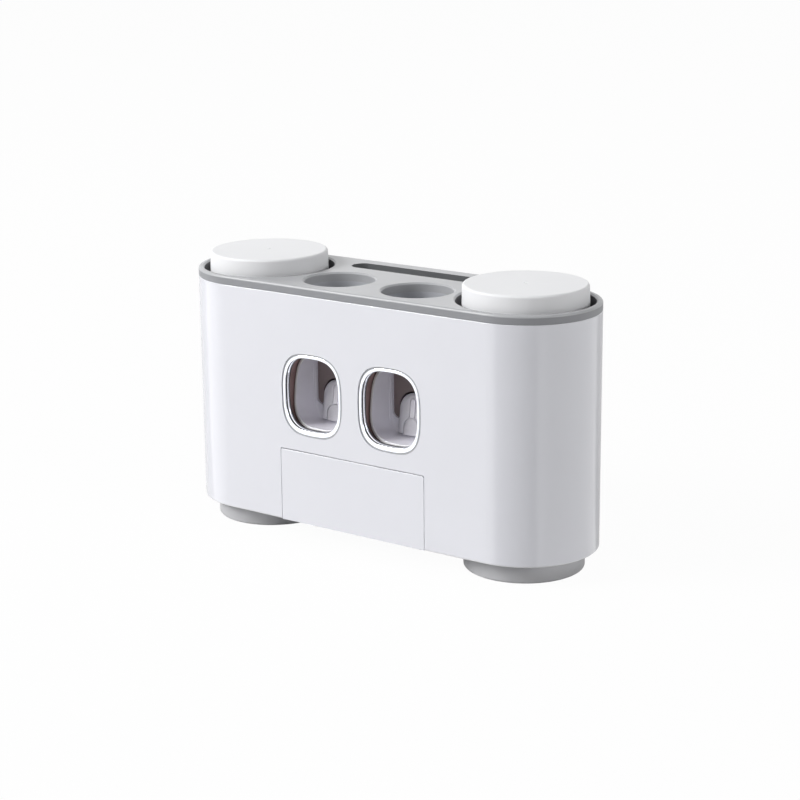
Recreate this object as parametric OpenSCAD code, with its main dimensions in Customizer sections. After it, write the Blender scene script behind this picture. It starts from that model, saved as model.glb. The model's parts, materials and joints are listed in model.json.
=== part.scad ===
// Wall or counter toothbrush holder with two tumblers and two toothpaste squeezers.
// X runs along the body, -Y is the front and +Z is up.
// The origin is on the ground, midway between the two feet.

/* [Body] */
// Height of the shell's lower edge above the ground
foot_h = 12.9; // [8:0.1:20]
// Height of the white shell
shell_h = 145.9; // [142:0.1:165]
// Wall of the white shell
shell_wall = 2; // [1.6:0.1:2.4]
// Thickness of the shell's floor
floor_t = 2; // [1.6:0.1:3]
// Chamfer round the shell's lower edge
shell_edge = 0.8; // [0.4:0.1:1.5]
// Gap left all round between pieces that slip into each other
fit_gap = 0.3; // [0.2:0.05:0.4]

/* [Tray] */
// Height of the grey rim above the white shell
tray_rim_h = 5.7; // [4.5:0.1:8]
// Width of the grey rim
tray_rim_w = 1.8; // [1.4:0.1:2.4]
// Thickness of the tray's plate
tray_plate_t = 2.5; // [2:0.1:3.5]
// Chamfer round the tray and its holes
tray_edge = 0.6; // [0.3:0.1:1]
// Height of the strips that locate the tray inside the shell
skirt_h = 6; // [4:0.1:8]
// Thickness of those strips
skirt_t = 1.6; // [1.2:0.1:2.2]
// Radius of the holes for the toothpaste tubes
tube_hole_r = 22; // [19:0.1:23]
// Distance of the tube holes' edges behind the front face
tube_margin = 8.7; // [7.5:0.1:10]
// Least distance along the body between a tube hole and a cup's hole
cup_web = 3.8; // [3:0.1:8]
// Length of the long slot at the back
slot_l = 100; // [80:1:104]
// Width of the long slot
slot_w = 14.5; // [11:0.1:15]
// Distance of the slot's edge in front of the rear face
slot_margin = 10.4; // [9:0.1:12]

/* [Cups and wells] */
// Wall of the cup wells
well_wall = 1.4; // [1.2:0.1:1.8]
// Thickness of a well's floor
well_floor_t = 1.8; // [1.4:0.1:3]
// Clearance round a cup's mouth in its well
cup_clear = 1.7; // [1:0.1:2]
// How much a cup narrows from mouth to base, on the radius
cup_taper = 2.5; // [1.5:0.1:4]
// Height of a cup
cup_h = 105; // [90:1:112]
// How far a cup's base stands above the tray
cup_proud = 9.7; // [6:0.1:16]
// Wall of a cup
cup_wall = 1.8; // [1.4:0.1:2.4]
// Thickness of a cup's base
cup_base_t = 2.2; // [1.8:0.1:3.5]
// Rounding of a cup's base edge
cup_edge_r = 1.7; // [1:0.1:2]
// Step from a cup's mouth in to the narrow lower part of the well
foot_step = 3.1; // [2.6:0.1:4.5]
// Radius of the drain holes
drain_r = 2.5; // [1.5:0.1:3]

/* [Squeezer windows] */
// Gap between the two window frames
window_gap = 12.6; // [9:0.1:16]
// Distance of the windows' middle below the shell's upper edge
window_down = 62.6; // [60:0.1:66]
// Width over a window frame
window_w = 46; // [44:0.1:46.4]
// Height over a window frame
window_h = 52.3; // [50:0.1:53]
// Corner radius of a window frame
window_r = 17; // [15:0.1:20]
// Width of the frame's bright band at the sides
band_w = 2.5; // [2:0.1:3]
// Extra width of the band at the bottom
band_drop = 0.9; // [0:0.1:1.5]
// Depth of the frame behind the front face
frame_depth = 4.4; // [4:0.1:6]
// Depth of the squeezer's bowl behind the front face
niche_depth = 25; // [24.5:0.1:26]
// Depth of the bowl's rim behind the front face, at the bottom
rim_depth = 7; // [6.5:0.1:9]
// Lean of the bowl's rim, from the upright
rim_lean = 8; // [0:0.5:12]
// Wall of the bowl
bowl_wall = 1.8; // [1.4:0.1:2.2]
// How much each side of the bowl closes in towards its back
bowl_draft = 6; // [5:0.1:6.5]

/* [Levers and pumps] */
// Width of the opening that shows on each side of a push lever
lever_side_w = 4.6; // [4.5:0.1:6.5]
// Height of a lever above its lower end
lever_h = 25.7; // [24.5:0.1:28]
// Thickness of a lever's plate
lever_t = 4; // [3:0.1:4.5]
// Radius of the steel pivot pin
pin_r = 1.5; // [1.2:0.05:1.8]
// Bore of the pump's cylinder
cylinder_r = 7.06; // [6.5:0.02:7.5]
// Wall of the pump's cylinder
cylinder_wall = 2.4; // [1.8:0.1:2.6]
// Length of the pump's bore
cylinder_l = 14; // [13:0.1:16]
// Space between the pump's end and the storage pocket
pump_room = 7; // [5:0.1:10]
// Radius of the piston rod
rod_r = 3; // [2.5:0.1:3.4]
// Bore that takes the neck of a toothpaste tube
neck_r = 6.5; // [5.5:0.1:7]
// Depth of that bore
neck_l = 9; // [6:0.1:12]

/* [Brush compartment] */
// Half the width of the flip cover
flap_half_w = 54.3; // [52:0.1:55]
// Distance of the flip cover's opening below the window frames
flap_drop = 10.05; // [8:0.05:12]
// Thickness of the flip cover
flap_t = 2.2; // [1.8:0.1:3]
// Gap round the flip cover
flap_gap = 0.4; // [0.3:0.05:0.6]
// Radius of the round top edge that the flip cover turns on
barrel_r = 4; // [3.2:0.1:4.2]
// Radius of the flip cover's stub axles
stub_r = 1.6; // [1.4:0.1:2]
// Radial clearance of the stub axles and pivot pins
run_gap = 0.06; // [0.03:0.01:0.1]
// Number of toothbrush notches
brush_n = 4; // [3:1:5]
// Distance between the notches
brush_pitch = 25; // [19:0.5:30]
// Width of a notch
notch_w = 9; // [7:0.1:11]
// Height of the brush shelf above the shell's lower edge, as a share of the flip cover's opening
shelf_share = 0.32; // [0.28:0.01:0.4]

/* [Storage and rear] */
// Depth of the storage pocket below the tray's top
pocket_depth = 84.5; // [60:1:110]
// Wall of the storage pocket
pocket_wall = 1.5; // [1.2:0.1:1.6]
// Distance of the rear cover's edges from the centres of the round ends
cover_inset = 26.8; // [25:0.1:32]
// Distance of the rear cover from the shell's upper and lower edges
cover_margin = 12; // [10.5:0.1:20]
// Distance of the hooks' middle from the rear cover's edges
hook_inset = 32; // [26:0.1:38]
// Distance of the hooks' middle below the shell's upper edge
hook_down = 42.9; // [40:0.1:60]

/* [Hidden] */
$fn = 64;

// Colours, as the photograph shows them
white = [0.90, 0.91, 0.93];
matte_white = [0.93, 0.93, 0.94];
grey = [0.74, 0.75, 0.77];
dark_grey = [0.56, 0.56, 0.58];
liner_white = [0.82, 0.81, 0.84];
bright = [0.85, 0.86, 0.88];
steel = [0.62, 0.63, 0.65];
silicone = [0.78, 0.80, 0.82];
pump_dark = [0.35, 0.29, 0.30];
foam = [0.55, 0.57, 0.60];

// One overrun for every cut
over = 2;

// What lies behind each other from the front face to the rear face, which sets the body's depth
lever_gap = 1.6;
pump_set = 13;
pump_cap = 2;
squeezer_depth = niche_depth + bowl_wall + lever_gap + pump_set + cylinder_l + pump_cap;
end_r = (squeezer_depth + pump_room + pocket_wall + slot_w + slot_margin) / 2;

// Levels and planes of the body
shell_top = foot_h + shell_h;
tray_top = shell_top + tray_rim_h;
tray_under = tray_top - tray_plate_t;
front_y = -end_r;
rear_y = end_r;
front_in = front_y + shell_wall;
rear_in = rear_y - shell_wall;
floor_top = foot_h + floor_t;

// Cups and wells
well_r = end_r - shell_wall - fit_gap;
cup_hole_r = well_r - well_wall;
cup_mouth_r = cup_hole_r - cup_clear;
cup_base_r = cup_mouth_r - cup_taper;
squeezer_x = (window_w + window_gap) / 2;
end_x = squeezer_x + tube_hole_r + cup_web + cup_hole_r;
cup_top = tray_top + cup_proud;
cup_seat_gap = 0.2;
cup_low = cup_top - cup_h;
ledge_z = cup_low - cup_seat_gap;
foot_r = cup_mouth_r - foot_step;
foot_edge = 1.3;
collar_w = 2.5;
collar_t = 1.5;
drain_ring_r = 20;
drain_n = 6;
gate_r = 1.3;
gate_depth = 0.4;

// Tubes and pocket
tube_y = front_y + tube_margin + tube_hole_r;
sleeve_wall = 1.4;
sleeve_floor_t = 2;
slot_y = rear_y - slot_margin - slot_w / 2;
pocket_low = tray_top - pocket_depth;
pocket_drain_n = 3;

// Window frames
window_z = shell_top - window_down;
opening_w = window_w - 2 * band_w;
opening_h = window_h - 2 * band_w - band_drop;
opening_r = window_r - band_w;
opening_z = window_z + band_drop / 2;
flange_w = 2;
flange_t = 1.2;
frame_wall = 1;

// Bowls
bowl_half_w = opening_w / 2;
bowl_back = front_y + niche_depth;
bowl_rear = bowl_back + bowl_wall;
rim_y = front_y + rim_depth;
bowl_low = opening_z - opening_h / 2;
bowl_high = opening_z + opening_h / 2;
bowl_top = bowl_high + bowl_wall;
lever_foot_gap = 2;
lever_low = bowl_low + lever_foot_gap;
lever_side_gap = 1;
slot_half_w = bowl_half_w - bowl_draft;
lever_half_w = slot_half_w - lever_side_w;
slot_step = 12;
slot_head = 10;
slot_step_z = bowl_low + slot_step;
slot_high_z = bowl_high - slot_head;
nozzle_r = 2.95;
nozzle_back = 4.6;
nozzle_y = rim_y + nozzle_back + nozzle_r;
post_r = 3;
post_l = 9;
post_margin = 1.1;
post_foot = 9;
post_head = 10;
post_x = slot_half_w + post_r + post_margin;
post_low = bowl_low + post_foot;
post_high = bowl_high - post_head;
leg_half_x = 12;
leg_w = 4;
leg_d = 8;

// Levers
lever_back = bowl_rear + lever_gap;
lever_front = lever_back - lever_t;
lever_arch_z = lever_low + lever_h - lever_half_w;
rib_half_w = 1.7;
rib_t = 1;
rib_h = 12;
rib_rise = 10.5;
rib_low = lever_low + rib_rise;
pad_r = 5.5;
pad_t = 2.5;
pad_z = lever_low + pad_r;
boss_wall = 1.7;
boss_r = pin_r + boss_wall;
pivot_set = 2.5;
pivot_y = lever_back + pivot_set;
pivot_z = lever_low + boss_r;

// Pumps
adapter_wall = 2;
adapter_lip = 0.5;
pump_y = lever_back + pump_set;
pump_end = pump_y + cylinder_l;
pump_rise = 18.5;
pump_z = pivot_z + pump_rise;
cheek_in = lever_half_w + lever_side_gap;
cheek_t = 3.5;
cheek_out = cheek_in + cheek_t;
cheek_front_t = 2.2;
cheek_trim = 0.6;
cheek_low = lever_low + cheek_trim;
tab_out = post_x + post_r;
tab_high = post_high + post_r;
rod_room = 4;
arch_room = 2.5;
block_low = max(pump_z + rod_r + rod_room, lever_low + lever_h + arch_room);
head_gap = 0.25;
head_low = bowl_top + head_gap;
head_h = 6;
pump_top = head_low + head_h;
head_rim = 1.5;
head_r = neck_r + adapter_wall + adapter_lip + head_rim;
spigot_r = 4.1;
spigot_h = 4;
inlet_r = 2.5;
passage_r = 1.6;
riser_r = 1.3;
passage_gap = 2.5;
passage_skin = 0.4;
inlet_drop = 6;
outlet_drop = 2.8;
chamber_set = 1.8;
outlet_x = spigot_r + passage_gap;
block_wall = 3.55;
block_half_w = outlet_x + passage_r + block_wall;
inlet_turn_z = head_low - inlet_drop;
outlet_turn_z = head_low - outlet_drop;
chamber_y = pump_end - chamber_set;
outlet_rise_y = bowl_rear + riser_r + passage_skin;
outlet_head_z = head_low + head_h / 2;
nozzle_socket_z = outlet_head_z + riser_r + passage_skin;

// Pistons, seals and springs
piston_head_l = 4;
piston_head_gap = 0.4;
piston_head_r = cylinder_r - piston_head_gap;
piston_set = 2;
piston_y = pump_y + piston_set;
groove_half_w = 1.05;
seal_half_w = 0.9;
seal_gap = 0.06;
seal_r = cylinder_r - seal_gap;
groove_r = seal_r - 2 * seal_half_w;
rod_gap = 0.3;
rod_tip_y = lever_back + rod_gap;
spring_wire_r = 0.3;
spring_room = 1.6;
spring_r = cylinder_r - spring_room;
spring_turns = 4;
spring_rings = 8;
spring_sides = 6;
spring_end_gap = 0.15;

// Inlet adapters and nozzles
adapter_r = neck_r + adapter_wall;
adapter_flange_r = adapter_r + adapter_lip;
adapter_flange_h = 3;
nozzle_drop = 2.6;
nozzle_low = bowl_high - nozzle_drop;
nozzle_tip_r = 1.7;
nozzle_bore_r = 0.9;

// Flip cover and its hinge
flap_h = window_z - window_h / 2 - flap_drop - foot_h;
flap_top = foot_h + flap_h - flap_gap;
hinge_y = front_y + barrel_r;
hinge_z = flap_top - barrel_r;
ear_t = 4;
flap_side = flap_half_w + flap_gap;
lip_h = 2;
lip_t = 2.4;

// Brush rack
rack_wall = 2;
rack_side_gap = 2.3;
rack_half_w = flap_half_w - rack_side_gap;
rack_back = bowl_back + rack_wall;
rack_rise = 5.8;
rack_clear = 0.5;
rack_top = foot_h + flap_h + rack_rise;
rack_front = front_in + rack_clear;
shelf_z = foot_h + shelf_share * flap_h;
shelf_t = 2.5;
shelf_set = 3.2;
shelf_front = front_y + flap_t + shelf_set;
notch_set = 7;
notch_end = bowl_back - notch_set;
rack_side_front = hinge_y + barrel_r + rack_clear;
foot_tab_x = 30;
foot_tab_w = 12;
foot_tab_l = 11;
foot_tab_t = 2.5;

// Screws
screw_r = 1.2;
screw_head_r = 2.3;
screw_head_h = 1.7;
screw_hole_gap = 0.3;
screw_hole_r = screw_r + screw_hole_gap;
screw_end_gap = 1;
sink_r = 3;
sink_h = 1.5;
cover_screw_l = 8;
rack_screw_l = 7;
pump_screw_l = 7;
rack_boss_r = 3.4;
rack_boss_h = 8;

// Rear cover, ledge and wall hooks
cover_half_w = end_x - cover_inset;
cover_low = foot_h + cover_margin;
cover_high = shell_top - cover_margin;
ledge_t = 2;
ledge_lap = 4;
cover_boss_r = 3.4;
cover_boss_l = 7;
hook_half_w = 13;
hook_x = cover_half_w - hook_inset;
hook_half_h = 19;
hook_z = shell_top - hook_down;
recess_wall = 1.4;
recess_depth = 5.6;
recess_gap = 0.5;
hook_t = 1.6;
pad_foam_t = 0.6;
hook_y = rear_y - pad_foam_t - hook_t;
catch_t = 1;
catch_h = 4;
catch_y = hook_y - fit_gap - catch_t;
tongue_t = 1.2;
tongue_y = catch_y - fit_gap - tongue_t;
tongue_h = 9;
tongue_half_w = 8;

// Building blocks

module bar(low, high) {
    translate(low) cube(high - low);
}

module rod_x(r, x0, x1, y, z) {
    translate([x0, y, z]) rotate([0, 90, 0]) cylinder(r = r, h = x1 - x0);
}

module rod_y(r, y0, y1, x, z) {
    translate([x, y1, z]) rotate([90, 0, 0]) cylinder(r = r, h = y1 - y0);
}

module rod_z(r, z0, z1, x, y) {
    translate([x, y, z0]) cylinder(r = r, h = z1 - z0);
}

// Long form with two round ends. Its outline is a list of radii and heights, upwards
module long_form(outline) {
    low = outline[0][1];
    high = outline[len(outline) - 1][1];
    for (side = [-1, 1]) translate([side * end_x, 0, 0])
        rotate_extrude() polygon(concat([[0, low]], outline, [[0, high]]));
    translate([-end_x, 0, 0]) rotate([90, 0, 90]) linear_extrude(2 * end_x)
        polygon(concat(outline, [for (i = [len(outline) - 1 : -1 : 0]) [-outline[i][0], outline[i][1]]]));
}

module stadium(r, z0, z1) {
    long_form([[r, z0], [r, z1]]);
}

// Rounded block that runs along Y, centred on x = 0 and a height
module window_block(w, h, r, y0, y1, z) {
    for (sx = [-1, 1]) for (sz = [-1, 1])
        rod_y(r, y0, y1, sx * (w / 2 - r), z + sz * (h / 2 - r));
    bar([-w / 2, y0, z - h / 2 + r], [w / 2, y1, z + h / 2 - r]);
    bar([-w / 2 + r, y0, z - h / 2], [w / 2 - r, y1, z + h / 2]);
}

// Long rounded block of the rear slot, grown by a margin
module slot_block(grow, z0, z1) {
    r = slot_w / 2 + grow;
    run = (slot_l - slot_w) / 2;
    for (side = [-1, 1]) rod_z(r, z0, z1, side * run, slot_y);
    bar([-run, slot_y - r, z0], [run, slot_y + r, z1]);
}

// Housing

module outer_shell() color(white) difference() {
    union() {
        difference() {
            long_form([[end_r - shell_edge, foot_h], [end_r, foot_h + shell_edge], [end_r, shell_top]]);
            stadium(end_r - shell_wall, floor_top, shell_top + over);
        }
        rear_ledge();
        for (side = [-1, 1]) flap_ear(side);
    }
    for (side = [-1, 1]) {
        rod_z(foot_r + fit_gap, foot_h - over, floor_top + over, side * end_x, 0);
        translate([side * squeezer_x, 0, 0])
            window_block(window_w + 2 * fit_gap, window_h + 2 * fit_gap, window_r + fit_gap,
                front_y - over, front_in + over, window_z);
        rod_x(stub_r + run_gap, side > 0 ? flap_side - over : -flap_side - ear_t - over,
            side > 0 ? flap_side + ear_t + over : -flap_side + over, hinge_y, hinge_z);
        rod_z(screw_hole_r, foot_h - over, floor_top + over, side * foot_tab_x, rack_back + foot_tab_l / 2);
    }
    bar([-flap_side, front_y - over, foot_h - over],
        [flap_side, front_y + flap_t + flap_gap, foot_h + flap_h]);
    bar([-rack_half_w + rack_wall, front_y, foot_h - over],
        [rack_half_w - rack_wall, bowl_back, floor_top + over]);
    bar([-cover_half_w - fit_gap, rear_in, cover_low - fit_gap],
        [cover_half_w + fit_gap, rear_y + over, cover_high + fit_gap]);
}

// Frame inside the rear wall that the rear cover lies on, with four screw bosses
module rear_ledge() difference() {
    union() {
        bar([-cover_half_w - ledge_lap, rear_in - ledge_t, cover_low - ledge_lap],
            [cover_half_w + ledge_lap, rear_in, cover_high + ledge_lap]);
        at_cover_screws() rod_y(cover_boss_r, rear_in - cover_boss_l, rear_in, 0, 0);
    }
    difference() {
        bar([-cover_half_w + ledge_lap, rear_in - ledge_t - over, cover_low + ledge_lap],
            [cover_half_w - ledge_lap, rear_in + over, cover_high - ledge_lap]);
        at_cover_screws() rod_y(cover_boss_r, rear_in - cover_boss_l, rear_in + over, 0, 0);
    }
    at_cover_screws() rod_y(screw_r, rear_y - cover_screw_l - fit_gap, rear_in + over, 0, 0);
}

module at_cover_screws() {
    for (sx = [-1, 1]) for (z = [cover_low + ledge_lap, cover_high - ledge_lap])
        translate([sx * (cover_half_w - ledge_lap), 0, z]) children();
}

// Bearing ear beside the flip cover's hinge
module flap_ear(side) {
    low_x = side > 0 ? flap_side : -flap_side - ear_t;
    bar([low_x, front_in - shell_wall / 2, hinge_z - barrel_r],
        [low_x + ear_t, hinge_y + barrel_r, hinge_z + barrel_r]);
}

module top_tray() color(grey) difference() {
    union() {
        difference() {
            long_form([[end_r, shell_top], [end_r, tray_top - tray_edge], [end_r - tray_edge, tray_top]]);
            difference() {
                stadium(end_r - tray_rim_w, shell_top - over, tray_under);
                for (side = [-1, 1]) {
                    rod_z(end_r - tray_rim_w / 2, shell_top - 2 * over, tray_top, side * end_x, 0);
                    rod_z(tube_hole_r + sleeve_wall, shell_top - 2 * over, tray_top,
                        side * squeezer_x, tube_y);
                }
                slot_block(pocket_wall, shell_top - 2 * over, tray_top);
            }
        }
        for (side = [-1, 1]) tray_strip(side);
    }
    for (side = [-1, 1]) {
        tray_hole(cup_hole_r, side * end_x, 0);
        tray_hole(tube_hole_r, side * squeezer_x, tube_y);
    }
    slot_block(0, shell_top - over, tray_top + over);
}

// Strip under the tray that locates it inside the front or rear wall
module tray_strip(side) {
    outer = end_r - shell_wall - fit_gap;
    low_y = side > 0 ? outer - skirt_t : -outer;
    bar([-slot_l / 2, low_y, shell_top - skirt_h],
        [slot_l / 2, low_y + skirt_t, tray_under + tray_plate_t / 2]);
}

// Round hole through the tray with a chamfered upper edge
module tray_hole(r, x, y) {
    rod_z(r, shell_top - over, tray_top + over, x, y);
    translate([x, y, tray_top - tray_edge]) cylinder(r1 = r, r2 = r + 2 * tray_edge, h = 2 * tray_edge);
}

module storage_pocket() color(grey) difference() {
    slot_block(pocket_wall, pocket_low, shell_top);
    slot_block(0, pocket_low + pocket_wall, shell_top + over);
    for (i = [0 : pocket_drain_n - 1])
        rod_z(drain_r, pocket_low - over, pocket_low + pocket_wall + over,
            (i - (pocket_drain_n - 1) / 2) * slot_l / (pocket_drain_n + 1), slot_y);
}

module rear_cover() color(white) difference() {
    union() {
        bar([-cover_half_w, rear_in, cover_low], [cover_half_w, rear_y, cover_high]);
        for (side = [-1, 1])
            bar([side * hook_x - hook_half_w - recess_gap - recess_wall,
                    rear_y - recess_depth - recess_wall,
                    hook_z - hook_half_h - recess_gap - recess_wall],
                [side * hook_x + hook_half_w + recess_gap + recess_wall,
                    rear_in + shell_wall / 2,
                    hook_z + hook_half_h + recess_gap + recess_wall]);
    }
    for (side = [-1, 1]) difference() {
        bar([side * hook_x - hook_half_w - recess_gap, rear_y - recess_depth,
                hook_z - hook_half_h - recess_gap],
            [side * hook_x + hook_half_w + recess_gap, rear_y + over,
                hook_z + hook_half_h + recess_gap]);
        bar([side * hook_x - hook_half_w - 2 * recess_gap, catch_y, hook_z + tongue_t + fit_gap],
            [side * hook_x + hook_half_w + 2 * recess_gap, catch_y + catch_t,
                hook_z + tongue_t + fit_gap + catch_h]);
    }
    at_cover_screws() {
        rod_y(screw_hole_r, rear_in - over, rear_y + over, 0, 0);
        translate([0, rear_y, 0]) rotate([90, 0, 0]) cylinder(r1 = sink_r, r2 = screw_hole_r, h = sink_h);
    }
}

module cover_screws() color(steel) at_cover_screws() union() {
    rod_y(screw_r, rear_y - cover_screw_l, rear_y - sink_h / 2, 0, 0);
    translate([0, rear_y, 0]) rotate([90, 0, 0])
        cylinder(r1 = sink_r - screw_hole_r + screw_r, r2 = screw_r, h = sink_h);
}

// Wall hook: a plate stuck to the wall with a turned-up tongue that the rear cover's catch drops behind
module wall_hook(side) color(grey) translate([side * hook_x, 0, 0]) {
    bar([-hook_half_w, hook_y, hook_z - hook_half_h], [hook_half_w, hook_y + hook_t, hook_z + hook_half_h]);
    bar([-tongue_half_w, tongue_y, hook_z], [tongue_half_w, hook_y + hook_t / 2, hook_z + tongue_t]);
    bar([-tongue_half_w, tongue_y, hook_z], [tongue_half_w, tongue_y + tongue_t, hook_z + tongue_h]);
}

module adhesive_pad(side) color(foam) translate([side * hook_x, 0, 0])
    bar([-hook_half_w, hook_y + hook_t, hook_z - hook_half_h], [hook_half_w, rear_y, hook_z + hook_half_h]);

// Cups and wells

module cup_well(side) color(dark_grey) translate([side * end_x, 0, 0]) difference() {
    rotate_extrude($fn = 128) polygon([
        [0, 0], [foot_r - foot_edge, 0], [foot_r - foot_edge / 3, foot_edge / 3], [foot_r, foot_edge],
        [foot_r, floor_top], [foot_r + collar_w, floor_top], [foot_r + collar_w, floor_top + collar_t],
        [foot_r, floor_top + collar_t], [foot_r, ledge_z - well_wall], [well_r, ledge_z - well_wall],
        [well_r, shell_top], [cup_hole_r, shell_top], [cup_hole_r, ledge_z], [foot_r - well_wall, ledge_z],
        [foot_r - well_wall, well_floor_t], [0, well_floor_t]
    ]);
    rod_z(drain_r, -over, well_floor_t + over, 0, 0);
    for (i = [0 : drain_n - 1]) rotate(i * 360 / drain_n)
        rod_z(drain_r, -over, well_floor_t + over, drain_ring_r, 0);
}

// Points of a quarter round, from the side of the cup up on to its base
function base_round(r, top) =
    [for (a = [0 : 15 : 90])
        [r - cup_edge_r + cup_edge_r * cos(a), top - cup_edge_r + cup_edge_r * sin(a)]];

module cup(side) color(matte_white) translate([side * end_x, 0, 0]) difference() {
    rotate_extrude($fn = 128) polygon(concat(
        [[0, cup_top - cup_base_t], [cup_base_r - cup_wall, cup_top - cup_base_t],
            [cup_mouth_r - cup_wall, cup_low], [cup_mouth_r, cup_low]],
        base_round(cup_base_r, cup_top),
        [[0, cup_top]]
    ));
    rod_z(gate_r, cup_top - gate_depth, cup_top + over, 0, 0);
}

// Toothpaste feed

module tube_sleeve(side) color(dark_grey) difference() {
    rod_z(tube_hole_r + sleeve_wall, pump_top, shell_top, side * squeezer_x, tube_y);
    rod_z(tube_hole_r, pump_top + sleeve_floor_t, shell_top + over, side * squeezer_x, tube_y);
    rod_z(adapter_flange_r + fit_gap, pump_top - over, shell_top, side * squeezer_x, tube_y);
}

module inlet_adapter(side) color(silicone) translate([side * squeezer_x, tube_y, pump_top])
    rotate_extrude() polygon([
        [inlet_r, -spigot_h], [spigot_r, -spigot_h], [spigot_r, 0], [adapter_flange_r, 0],
        [adapter_flange_r, adapter_flange_h], [adapter_r, adapter_flange_h],
        [adapter_r, adapter_flange_h + neck_l], [neck_r, adapter_flange_h + neck_l],
        [neck_r, adapter_flange_h], [inlet_r, adapter_flange_h]
    ]);

// Squeezers

module window_frame(side) color(bright) translate([side * squeezer_x, 0, 0]) difference() {
    union() {
        window_block(window_w, window_h, window_r, front_y, front_in + flange_t / 2, window_z);
        window_block(window_w + 2 * flange_w, window_h + 2 * flange_w, window_r + flange_w,
            front_in, front_in + flange_t, window_z);
        window_block(opening_w + 2 * frame_wall, opening_h + 2 * frame_wall, opening_r + frame_wall,
            front_y + shell_wall, front_y + frame_depth, opening_z);
    }
    window_block(opening_w, opening_h, opening_r, front_y - over, front_y + frame_depth + over, opening_z);
}

// The bowl's form: the opening's outline behind the frame, closing in towards the back
module bowl_form(grow, y0, y1) intersection() {
    window_block(opening_w + 2 * grow, opening_h + 2 * grow, opening_r + grow, y0, y1, opening_z);
    translate([0, 0, bowl_low - grow - over]) linear_extrude(opening_h + 2 * grow + 2 * over) polygon([
        [-bowl_half_w - grow, y0], [bowl_half_w + grow, y0],
        [slot_half_w + grow, y1], [-slot_half_w - grow, y1]
    ]);
}

module squeezer_bowl(side) color(liner_white) translate([side * squeezer_x, 0, 0]) difference() {
    union() {
        bowl_form(bowl_wall, rim_y, bowl_rear);
        for (sx = [-1, 1]) {
            for (z = [post_low, post_high]) rod_y(post_r, bowl_rear - post_l, bowl_rear, sx * post_x, z);
            bar([sx * leg_half_x - leg_w / 2, bowl_back - leg_d, rack_top],
                [sx * leg_half_x + leg_w / 2, bowl_back, bowl_low + leg_w]);
        }
    }
    bowl_form(0, rim_y - over, bowl_back);
    translate([0, rim_y, bowl_low - bowl_wall]) rotate([-rim_lean, 0, 0])
        bar([-window_w, -niche_depth, -window_h], [window_w, 0, 2 * window_h]);
    bar([-slot_half_w, bowl_back - over, slot_step_z], [slot_half_w, bowl_rear + over, slot_high_z]);
    bar([-cheek_in, bowl_back - over, lever_low - fit_gap * 2],
        [cheek_in, bowl_rear + over, slot_step_z + over]);
    rod_z(nozzle_r + fit_gap, bowl_high - over, bowl_top + over, 0, nozzle_y);
    for (sx = [-1, 1]) for (z = [post_low, post_high])
        rod_y(screw_r, bowl_rear + cheek_front_t - pump_screw_l - screw_end_gap, bowl_rear + over,
            sx * post_x, z);
}

module push_lever(side) color(liner_white) translate([side * squeezer_x, 0, 0]) difference() {
    union() {
        bar([-lever_half_w, lever_front, lever_low], [lever_half_w, lever_back, lever_arch_z]);
        rod_y(lever_half_w, lever_front, lever_back, 0, lever_arch_z);
        bar([-rib_half_w, lever_front - rib_t, rib_low],
            [rib_half_w, lever_front + lever_t / 2, rib_low + rib_h]);
        bar([-pad_r, lever_front - pad_t, lever_low], [pad_r, lever_front + lever_t / 2, pad_z]);
        rod_y(pad_r, lever_front - pad_t, lever_front + lever_t / 2, 0, pad_z);
        rod_x(boss_r, -cheek_in + fit_gap, cheek_in - fit_gap, pivot_y, pivot_z);
        bar([-lever_half_w, lever_back - lever_t / 2, lever_low],
            [lever_half_w, pivot_y, lever_low + 2 * boss_r]);
    }
    rod_x(pin_r + run_gap, -cheek_in - over, cheek_in + over, pivot_y, pivot_z);
}

module lever_pin(side) color(steel) translate([side * squeezer_x, 0, 0])
    rod_x(pin_r, -cheek_out, cheek_out, pivot_y, pivot_z);

module pump_body(side) color(pump_dark) translate([side * squeezer_x, 0, 0]) difference() {
    union() {
        for (sx = [-1, 1]) {
            low_x = sx > 0 ? cheek_in : -cheek_out;
            tab_x = sx > 0 ? cheek_in : -tab_out;
            bar([low_x, bowl_rear, cheek_low],
                [low_x + cheek_out - cheek_in, pump_y + cylinder_l / 2, tab_high]);
            bar([tab_x, bowl_rear, cheek_low],
                [tab_x + tab_out - cheek_in, bowl_rear + cheek_front_t, tab_high]);
        }
        bar([-cheek_out, pump_y, pump_z - cylinder_r / 2],
            [cheek_out, pump_y + cylinder_l / 2, pump_z + cylinder_r / 2]);
        rod_y(cylinder_r + cylinder_wall, pump_y, pump_end + pump_cap, 0, pump_z);
        bar([-block_half_w, bowl_rear, block_low],
            [block_half_w, pump_end + pump_cap, head_low + head_h / 2]);
        bar([-block_half_w, pump_y + cylinder_l / 2, pump_z],
            [block_half_w, pump_end + pump_cap, block_low + over]);
        rod_z(head_r, head_low, pump_top, 0, tube_y);
        bar([-block_half_w, nozzle_y - nozzle_r - passage_r, head_low], [block_half_w, tube_y, pump_top]);
    }
    rod_y(cylinder_r, pump_y - over, pump_end, 0, pump_z);
    rod_x(pin_r + run_gap / 2, -cheek_out - over, cheek_out + over, pivot_y, pivot_z);
    for (sx = [-1, 1]) for (z = [post_low, post_high])
        rod_y(screw_hole_r, bowl_rear - over, bowl_rear + cheek_front_t + over, sx * post_x, z);
    rod_z(spigot_r + run_gap, pump_top - spigot_h, pump_top + over, 0, tube_y);
    rod_z(inlet_r, inlet_turn_z, pump_top, 0, tube_y);
    rod_y(passage_r, tube_y, chamber_y + passage_r, 0, inlet_turn_z + inlet_r);
    rod_z(riser_r, pump_z, inlet_turn_z + inlet_r, 0, chamber_y);
    outlet_passage();
    rod_z(nozzle_r, head_low - over, nozzle_socket_z, 0, nozzle_y);
}

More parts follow.
